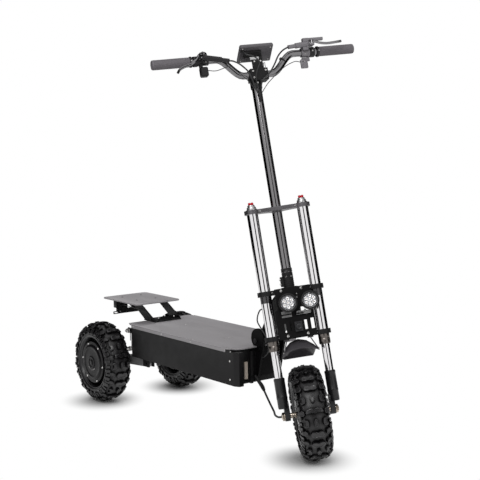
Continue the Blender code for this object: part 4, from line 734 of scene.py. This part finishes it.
def deck_cords():
    to_deck = DECK.inverted() @ STEER
    # From the middle crown to the deck's front wall
    free_cord("neck_lead", DECK, [
        to_deck @ Vector((-0.044, 0, 0.3577)), (-0.048, 0.14, 0.4155), (-0.055, 0.163, 0.4075),
        (-0.054, 0.179, 0.3745), (-0.052, 0.162, 0.3505), (-0.05, 0.144, 0.3305), (-0.044, 0.14, 0.3035),
        (-0.033, 0.156, 0.2755), (-0.032, 0.18, 0.2565), (-0.032, DECK_FRONT - 0.005, 0.2525)],
        0.0021, "chassis", ("neck_loom",))
    # From the gland under the deck to the front axle's end
    gland = Vector((-0.0515, 0.163, DECK_BOTTOM - 0.0056))
    bend = to_deck @ Vector((-0.105, -0.009, 0.0185))
    ahead = (bend - gland).normalized()

    def strain_relief(mesh):
        add_rod(mesh, gland + Vector((0, 0.0332, 0.0244)), gland + Vector((0, 0.004, 0.0029)), 0.0056)
        add_tube(mesh, [gland + Vector((0, 0.0075, 0.0055)), gland + Vector((0, 0.002, 0.0012)), gland + ahead * 0.004,
                        gland + ahead * 0.01, gland + ahead * 0.016, gland + ahead * 0.024],
                 [0.006, 0.0062, 0.006, 0.0053, 0.0046, 0.0036], 18)
        for k in range(4):
            spot = gland + ahead * (0.006 + 0.0045 * k)
            add_rod(mesh, spot, spot + ahead * 0.0018, 0.0062 - 0.0005 * k, steps=18)
    relief = piece("lead_strain_relief", strain_relief, DECK, "chassis", PLASTIC, "black_plastic", smooth=40)
    free_cord("front_motor_lead", DECK, [
        gland, gland.lerp(bend, 0.33) + Vector((0, 0, -0.0012)), gland.lerp(bend, 0.66) + Vector((0, 0, -0.0014)),
        gland.lerp(bend, 0.94), bend, to_deck @ Vector((-0.1035, -0.0115, 0.0085)),
        to_deck @ Vector((-0.096, -AXLE_FORWARD, 0.0016)), to_deck @ Vector((-0.0861, -AXLE_FORWARD, 0.0))],
        0.0031, "chassis", ("motor_lead",), 5)
    # A thin wire from the tail lamps to the deck
    free_cord("tail_lead", DECK, [
        (-0.03, 1.013, 0.333), (-0.038, 1.002, 0.329), (-0.05, 0.97, 0.328), (-0.056, 0.92, 0.3275),
        (-0.057, 0.87, 0.327), (-0.056, 0.83, 0.3265), (-0.054, 0.805, 0.318), (-0.054, 0.79, 0.299),
        (-0.054, 0.786, 0.2925)], 0.0011, "chassis")


# Turned pieces of one side of the fork: (name, look, slot, steps, closed, replaced node, profile)
UPPER_TUBE = (
    ("_outer_tube", CHROME, "smoked_chrome", 72, False, "_fork_tube",
     [(0, 0.6219), (0.0155, 0.6219), (0.0168, 0.6209), (0.0168, 0.2232), (0.0134, 0.2232), (0.0134, 0.59),
      (0, 0.59)]),
    ("_tube_collar", COLLAR, "smoked_chrome", 72, True, None,
     [(0.013, 0.2229), (0.0163, 0.2229), (0.0171, 0.2221), (0.0171, 0.212), (0.0166, 0.2112), (0.0166, 0.2096),
      (0.0171, 0.2088), (0.0171, 0.196), (0.016, 0.1928), (0.013, 0.1926)]),
    ("_tube_band", BAND, "smoked_chrome", 72, True, None,
     [(0.016, 0.3578), (0.0171, 0.3578), (0.0171, 0.3372), (0.016, 0.3372)]),
    ("_tube_cap", ALLOY, "smoked_chrome", 48, False, None,
     [(0, 0.6349), (0.0098, 0.6349), (0.0108, 0.6342), (0.0112, 0.63), (0.0132, 0.629), (0.014, 0.6275),
      (0.014, 0.624), (0.015, 0.6232), (0.0152, 0.6222), (0, 0.6222)]))
LEG_PIECES = (
    ("_stanchion", CHROME, "smoked_chrome", 64, False, "_fork_leg",
     [(0, 0.33), (0.0115, 0.33), (0.0125, 0.329), (0.0125, 0.106), (0, 0.106)]),
    ("_lower_leg", LEG, "painted_black", 64, False, None,
     [(0, 0.1142), (0.014, 0.1142), (0.0149, 0.113), (0.0165, 0.1118), (0.0165, 0.1062), (0.0161, 0.1054),
      (0.0161, 0.06), (0.0165, 0.059), (0.0165, 0.053), (0.0159, 0.052), (0.0159, 0.028), (0.0146, 0.0236),
      (0, 0.023)]))


def fork():
    for side, name, face in SIDES:
        place = STEER @ at(side * FORK_HALF, -FORK_FORWARD, 0)

        def turned(pieces, body):
            for part, look, slot, steps, closed, node, profile in pieces:
                lathe_piece(name + part, profile, place, body, look, slot, (name + node,) if node else (), steps,
                            closed)

        def knob(mesh):
            add_lathe(mesh, [(0, 0.637), (0.0078, 0.637), (0.0084, 0.6366), (0.0084, 0.6354), (0, 0.6354)],
                      steps=32)
            for x in (-0.0041, 0.0041):
                add_rod(mesh, (x, 0, 0.6368), (x, 0, 0.6428), 0.004, chamfer=0.001, steps=20)
        turned(UPPER_TUBE, "steering")
        piece(name + "_red_knob", knob, place, name + "_adjuster", RED, "red_metal",
                   (name + "_fork_adjuster",), edge=0.0002)
        turned(LEG_PIECES, "fork_slider")

        def foot(mesh):
            outline = [(-0.0335, 0.04), (-0.0335, 0.003)] + arc((-AXLE_FORWARD, 0.0), 0.015, 205, 360, 10)
            outline += [(0.001, 0.04), (-0.002, 0.044), (-0.031, 0.044)]
            add_prism(mesh, outline, 0.0155, at(side * 0.068, 0, 0, SIDE_VIEW))
        piece(name + "_dropout", foot, STEER, "fork_slider", LEG, "painted_black", edge=0.001)
        screws(name + "_dropout_bolts", STEER, "fork_slider",
               (face, 0.0028, 0.0024, "pan", [(side * 0.0757, y, 0.0285) for y in (-0.0275, -0.0045)]))

    def axle(mesh):
        add_rod(mesh, (-0.0858, -AXLE_FORWARD, 0), (0.0858, -AXLE_FORWARD, 0), 0.0079, chamfer=0.0012, steps=32)
        for side, _, face in SIDES:
            end = at(side * 0.0761, -AXLE_FORWARD, 0, face)
            add_washer(mesh, 0.0079, 0.0138, 0.0014, end, 36)
            add_lathe(mesh, [(0, 0.0014), (0.0118, 0.0014), (0.0126, 0.0022), (0.0126, 0.0068), (0.0112, 0.0078),
                             (0, 0.0078)], end, 6)
            for inner in (0.042, 0.052):
                add_washer(mesh, 0.0079, 0.0112, 0.0022, at(side * inner, -AXLE_FORWARD, 0, face), 6)
    piece("axle_with_nuts", axle, STEER, "fork_slider", BRONZE, "axle_bronze", ("front_axle",), edge=0.0003)
    screws("crown_bolts", STEER, "steering",
           (FORWARD, 0.0029, 0.0028, "cap",
            mirrored(0.056, (-0.0365,), (0.23, 0.365)) + mirrored(0.054, (-0.0372,), (0.613,))))
    screws("plate_screws", STEER, "steering",
           (FORWARD, 0.0046, 0.0026, "pan", mirrored(0.03, (-0.042,), (0.367, 0.232))))


def stem():
    lathe_piece("stem_ring", [
        (0.0151, 0.4225), (0.0171, 0.4225), (0.0171, 0.425), (0.0164, 0.4262), (0.0164, 0.429), (0.0171, 0.4302),
        (0.0171, 0.4325), (0.0151, 0.433)], STEER, "steering", PLASTIC, "black_plastic", steps=60, closed=True)
    screws("stem_bolts", STEER, "steering",
           (FORWARD, 0.0026, 0.0024, "pan", [(-0.0056, -0.0163, 0.4075), (0.0093, -0.0136, 0.4075)]),
           (TO_RIGHT, 0.003, 0.003, "cap", [(-0.0235, -0.003, 0.402), (-0.0235, -0.003, 0.388)]),
           (FORWARD, 0.0024, 0.002, "pan", [(0, -0.0147, 0.944)]))

    def ribs(mesh):
        for z in [0.381 + 0.0058 * k for k in range(7)]:
            add_lathe(mesh, [(0.0162, z), (0.017, z + 0.0008), (0.017, z + 0.0022), (0.0162, z + 0.003)],
                      steps=60, closed=True)
    piece("sleeve_ribs", ribs, STEER, "steering", PLASTIC, "black_plastic")


def lamps():
    # Seven cells: one in the middle and six round it
    spots = [(0, 0)] + circle(0.0122, 6, 30)

    def housing(mesh):
        add_lathe(mesh, [
            (0, 0), (0.011, 0), (0.011, 0.007), (0.0175, 0.0075), (0.022, 0.01), (0.025, 0.014), (0.0255, 0.027),
            (0.0274, 0.0275), (0.0278, 0.0282), (0.0278, 0.033), (0.0268, 0.0338), (0.0232, 0.0338),
            (0.0222, 0.0328), (0.0216, 0.03), (0.0216, 0.024), (0, 0.0235)], steps=64)
        for k in range(30):
            add_box(mesh, (0.0024, 0.0016, 0.0125), (0.0262, 0, 0.0205), turn(12 * k, "Z"))

    for name, x, z in (("right", -0.0175, 0.328), ("left", 0.048, 0.3265)):
        place = STEER @ at(x, -0.0423, z, FORWARD)
        piece(name + "_lamp_housing", housing, place, "steering", PLASTIC, "black_plastic",
                   (name + "_headlight",), edge=0.0002)
        lathe_piece(name + "_lamp_dish", [
            (0.0215, 0.0322), (0.0205, 0.0322), (0.019, 0.0292), (0.0185, 0.028), (0, 0.028), (0, 0.0262),
            (0.0215, 0.0262)], place, "steering", REFLECTOR, "smoked_chrome", steps=60, closed=True)
        for part, look, slot, steps, closed, profile in (
                ("_lamp_bowls", BOWL, "smoked_chrome", 28, True,
                 [(0.005, 0.028), (0.0053, 0.0306), (0.0047, 0.0308), (0.003, 0.0292), (0.0022, 0.029),
                  (0.0022, 0.028)]),
                ("_lamp_cells", CREAM, "lens", 20, False,
                 [(0, 0.0292), (0.0012, 0.029), (0.0021, 0.0282), (0.0021, 0.0279), (0, 0.0279)])):
            def cells(mesh):
                for cell_x, cell_y in spots:
                    add_lathe(mesh, profile, at(cell_x, cell_y, 0), steps, closed)
            piece(name + part, cells, place, "steering", look, slot)
        lathe_piece(name + "_lamp_glass", [
            (0, 0.0341), (0.011, 0.0339), (0.019, 0.0333), (0.0219, 0.0328), (0.0219, 0.032), (0.019, 0.0325),
            (0.011, 0.0331), (0, 0.0333)], place, "steering", GLASS, "lens", (name + "_headlight_lens",), steps=60)
    solid_piece("lamp_brackets", STEER, "steering", ALLOY, "aluminium",
                ((0.029, 0.002, 0.018), (-0.025, -0.0442, 0.296)), ((0.024, 0.015, 0.0016), (-0.025, -0.05, 0.3045)),
                ((0.044, 0.0018, 0.0085), (0.026, -0.0448, 0.2945)), ((0.02, 0.012, 0.0016), (0.015, -0.05, 0.2996)),
                ((0.03, -0.0455, 0.299), (0.03, -0.056, 0.301), 0.0032),
                ((-0.025, -0.0455, 0.304), (-0.02, -0.056, 0.306), 0.0032), edge=0.0004)
    screws("lamp_bolts", STEER, "steering",
           (FORWARD, 0.0026, 0.0022, "pan",
            [(-0.034, -0.0452, 0.295), (-0.016, -0.0452, 0.295), (0.0135, -0.042, 0.342), (0.015, -0.042, 0.352)]),
           (FORWARD, 0.0026, 0.0022, "hex", [(0.01, -0.0457, 0.2945), (0.043, -0.0457, 0.2945)]))

    def horn(mesh):
        add_box(mesh, (0.0225, 0.008, 0.0295), (0.005, -0.0463, 0.256))
        add_lathe(mesh, [
            (0, 0.0044), (0.003, 0.0044), (0.0042, 0.003), (0.0062, 0.0026), (0.008, 0.0032), (0.0096, 0.0054),
            (0.0104, 0.0056), (0.0106, 0), (0, 0)], at(0.005, -0.0503, 0.257, FORWARD), 40)
        for k in range(4):
            add_box(mesh, (0.019, 0.001, 0.001), (0.005, -0.0506, 0.2438 + 0.0022 * k))
    piece("horn_unit", horn, STEER, "steering", HORN, "black_plastic", ("horn",), edge=0.0005)
    screws("fender_screws", STEER, "steering",
           (FORWARD, 0.0026, 0.0024, "pan", mirrored(0.0515, (-0.0592,), (0.1848,))))


def rear_parts():
    # Bolts through the eyes of both struts, with washers and nuts
    strut_y = 0.793
    for side, name, face in SIDES:
        for part, body, z, start in (("_upper_bolt", "chassis", 0.269, 0.141),
                                     ("_lower_bolt", "rear_swing", 0.205, 0.1375)):
            def bolt(mesh):
                add_rod(mesh, (side * start, strut_y, z), (side * (start + 0.013), strut_y, z), 0.0036, chamfer=0.0006)
                add_washer(mesh, 0.0036, 0.0088, 0.0012, at(side * (start + 0.0005), strut_y, z, face), 28)
                add_lathe(mesh, [(0, 0), (0.0078, 0), (0.0078, 0.0058), (0.0068, 0.0064), (0, 0.0064)],
                          at(side * (start + 0.0019), strut_y, z, face), 6)
            piece(name + part, bolt, DECK, body, STEEL, "steel", edge=0.0003)

    solid_piece("tail_lenses", DECK, "chassis", RED_LENS, "red_lens",
                *[((0.034, 0.002, 0.028), (x, 1.0438, 0.3262)) for x in (-0.034, 0.034)],
                *[((0.032, 0.001, 0.0016), (x, 1.045, 0.3162 + 0.005 * k)) for x in (-0.034, 0.034)
                  for k in range(5)], edge=0.0005)
    screws("tail_bolts", DECK, "chassis",
           (FORWARD, 0.0026, 0.0022, "hex", mirrored(0.027, (1.017,), (0.331,))),
           (FORWARD, 0.0024, 0.002, "pan", mirrored(0.04, (1.017,), (0.298,))))


def grips():
    """Each grip: rubber with fine ribs, and a locking ring with its screw."""
    rubber = [(0.0, BAR_HALF - 0.0006), (0.0128, BAR_HALF - 0.0006), (0.0144, BAR_HALF - 0.002),
              (0.0148, BAR_HALF - 0.0048)]
    x = BAR_HALF - 0.006
    while x > GRIP_IN + 0.009:
        rubber += [(0.015, x), (0.015, x - 0.0016), (0.0146, x - 0.002), (0.0146, x - 0.0024)]
        x -= 0.0028
    rubber += [(0.0148, GRIP_IN + 0.007), (0.0115, GRIP_IN + 0.0068), (0.0115, BAR_HALF - 0.004),
               (0.0, BAR_HALF - 0.004)]
    for side, name, face in SIDES:
        place = BAR @ at(0, -BAR_FORWARD, GRIP_Z, face)
        lathe_piece(name + "_grip_rubber", rubber, place, "steering", GRIP, "grip_rubber", (name + "_grip",))
        lathe_piece(name + "_grip_ring", [
            (0.0115, GRIP_IN + 0.0066), (0.016, GRIP_IN + 0.0066), (0.0167, GRIP_IN + 0.0058),
            (0.0167, GRIP_IN + 0.0008), (0.016, GRIP_IN), (0.0115, GRIP_IN)], place, "steering", CAST,
            "cast_black", closed=True, edge=0.0003)
        screws(name + "_ring_screw", BAR, "steering",
               (FORWARD, 0.0022, 0.0022, "cap", [(side * (GRIP_IN + 0.0033), -BAR_FORWARD - 0.0163, GRIP_Z)]))


def rounded(half_x, half_y, corner):
    points = []
    for cx, cy, start in ((1, 1, 0), (-1, 1, 90), (-1, -1, 180), (1, -1, 270)):
        points += arc((cx * (half_x - corner), cy * (half_y - corner)), corner, start, start + 90, 5)
    return points


def display():
    place = BAR @ at(0, -0.016, 1.0975, turn(-31.5, "X"))
    for name, half_x, half_y, corner, thick, centre, look, slot, edge in (
            ("display_glass", 0.049, 0.029, 0.004, 0.0012, 0.0064, SCREEN, "lens", 0.0003),
            ("display_rim", 0.0532, 0.0332, 0.005, 0.003, 0.003, DISPLAY, "black_plastic", 0.001)):
        piece(name, lambda mesh: add_prism(mesh, rounded(half_x, half_y, corner), thick, centre=centre), place,
                   "steering", look, slot, edge=edge)

    def back_box(mesh):
        add_prism(mesh, rounded(0.027, 0.012, 0.003), 0.007, at(-0.012, -0.005, 0), centre=-0.009)
        add_box(mesh, (0.012, 0.008, 0.006), (-0.045, -0.018, -0.008))
    piece("display_back", back_box, place, "steering", PLASTIC, "black_plastic", edge=0.0008)
    screws("display_screws", place, "steering",
           (DOWN, 0.0022, 0.0014, "pan", mirrored(0.044, (-0.024, 0.024), (-0.006,))))
    screws("bracket_screws", BAR, "steering",
           (FORWARD, 0.0028, 0.0024, "cap", [(x, -0.0201, 1.07) for x in (-0.008, 0.012)]),
           (FORWARD, 0.003, 0.003, "cap", mirrored(0.02, (-0.0301,), (1.018, 1.038))),
           (FORWARD, 0.0028, 0.0028, "cap", [(-0.0075, -0.0176, 1.004)]))

    solid_piece("bracket_post", BAR, "steering", ALLOY, "aluminium",
                ((0.0215, -0.023, 1.046), (0.0215, -0.023, 1.064), 0.0032),
                ((0.028, 0.0016, 0.008), (-0.006, -0.0209, 1.08)), edge=0.0004)


def bar_trim():
    """The bell, and the screws of the brakes and the throttle."""
    y, z = -BAR_FORWARD, GRIP_Z
    clamp_x = GRIP_IN - CLAMP_IN

    def bell(mesh):
        add_lathe(mesh, [
            (0, 0.0136), (0.003, 0.0133), (0.0072, 0.012), (0.0102, 0.0096), (0.012, 0.0062), (0.0126, 0.0024),
            (0.0118, 0.0024), (0.01, 0.006), (0.004, 0.007), (0.004, 0), (0, 0)])
        add_rod(mesh, (0, 0, 0.013), (0, 0, 0.0148), 0.0024, chamfer=0.0005)
    piece("bell_dome", bell, BAR @ at(-clamp_x - 0.002, y, z + 0.0145 + GAP), "steering", BELL, "aluminium",
               ("bell",))
    screws("control_screws", BAR, "steering",
           (FORWARD @ turn(-25, "X"), 0.0024, 0.0024, "cap", mirrored(clamp_x, (y - 0.0135,), (z - 0.0065,))),
           (UP, 0.0034, 0.0018, "pan",
            [(-clamp_x - 0.018, y - 0.038, z + 0.0136), (clamp_x + 0.018, y - 0.038, z + 0.0296)]),
           (FORWARD, 0.0024, 0.0022, "cap", [(GRIP_IN - 0.0165, y - 0.0156, z)]),
           (FORWARD, 0.0022, 0.002, "cap", [(-GRIP_IN + 0.0105, y - 0.0156, z + 0.001)]))
    screws("paddle_screw", BAR, "throttle",
           (FORWARD, 0.0022, 0.0016, "pan", [(GRIP_IN - 0.0442, y - 0.0026, z - 0.027)]))


def deck_parts():
    groups = [(UP, 0.0026, 0.0014, "pan", mirrored(0.1295, (0.235, 0.418, 0.602, 0.785), (DECK_TOP,))),
              (DOWN, 0.003, 0.0018, "pan", mirrored(0.1295, (0.36, 0.52, 0.68), (DECK_BOTTOM,))),
              (UP, 0.002, 0.001, "pan", [(x, 0.366, DECK_TOP) for x in (-0.0426, -0.028, -0.0145)]),
              (UP, 0.0026, 0.0014, "pan", [(0.003, 0.651, DECK_TOP)])]
    for side, _, face in SIDES:
        groups.append((face, 0.0023, 0.0014, "pan",
                       [(side * 0.1378, y, 0.284) for y in (0.2066, 0.235, 0.42, 0.59, 0.77)]))
        groups.append((face, 0.0036, 0.0024, "pan", [(side * 0.1363, 0.212, z) for z in (0.197, 0.254)]))
    screws("deck_screws", DECK, "chassis", *groups)
    screws("seat_screws", DECK, "chassis", (UP, 0.0036, 0.0012, "pan", mirrored(0.04, (0.9, 1.0), (0.3515,))),
           look=CROWN)
    screws("seat_foot_bolts", DECK, "chassis", (UP, 0.004, 0.003, "cap", mirrored(0.032, (0.77,), (0.3012,))))
    screws("neck_bolts", DECK, "chassis",
           *[(face, 0.0026, 0.0022, "pan", [(side * 0.0458, 0.1876, 0.2909), (side * 0.0458, 0.1815, 0.2829)])
             for side, _, face in SIDES])

    solid_piece("port_latch", DECK, "chassis", PLASTIC, "black_plastic",
                ((0.0022, 0.0016, 0.06), (-0.079, 0.199, 0.221)), ((0.008, 0.003, 0.012), (-0.071, 0.1985, 0.223)),
                ((-0.0705, 0.199, 0.209), (-0.0705, 0.195, 0.209), 0.003),
                ((0.003, 0.004, 0.018), (-0.0735, 0.197, 0.216)), edge=0.0004)


camera()
surroundings()
bar_cords()
deck_cords()

dress(PAINT, "deck_tray", "neck_head", "seat_bracket", "tail_bracket", "low_crown", "mid_crown", "bar_clamp",
      "stem_clamp")
dress(MATT, "neck_bracket", "light_plate")
dress(PLATE, "deck_plate", "seat_plate")
dress(CROWN, "top_crown", edge=0.0012)
dress(CREAM, "charge_port", edge=0)
dress(PACK, "battery_pack", edge=0)
dress(ALLOY, "motor_controller", "right_strut_body", "left_strut_body", edge=0.0004)
dress(SILVER, "swing_frame", edge=0.0004)
dress(STEEL, "rear_axle", "right_strut_rod", "left_strut_rod", edge=0.0003)
dress(CAST, "fold_pin", "right_brake_body", edge=0.0004)
dress(PLASTIC, "tail_light", "throttle_body", "switch_pod", edge=0.0004)
dress(STEM, "stem_tube", edge=0)
dress(DISPLAY, "display", edge=0.0008)
dress(FENDER, "fender", edge=0.0004)
dress(GLOSS_BLACK, "handlebar", "right_brake_lever", "left_brake_lever", edge=0.0002)
dress(BRAKE_GREY, "left_brake_body", "throttle_paddle", edge=0.0004)
dress(RED, "horn_button", edge=0.0003)

wheels()
fork()
stem()
lamps()
deck_parts()
rear_parts()
grips()
display()
bar_trim()
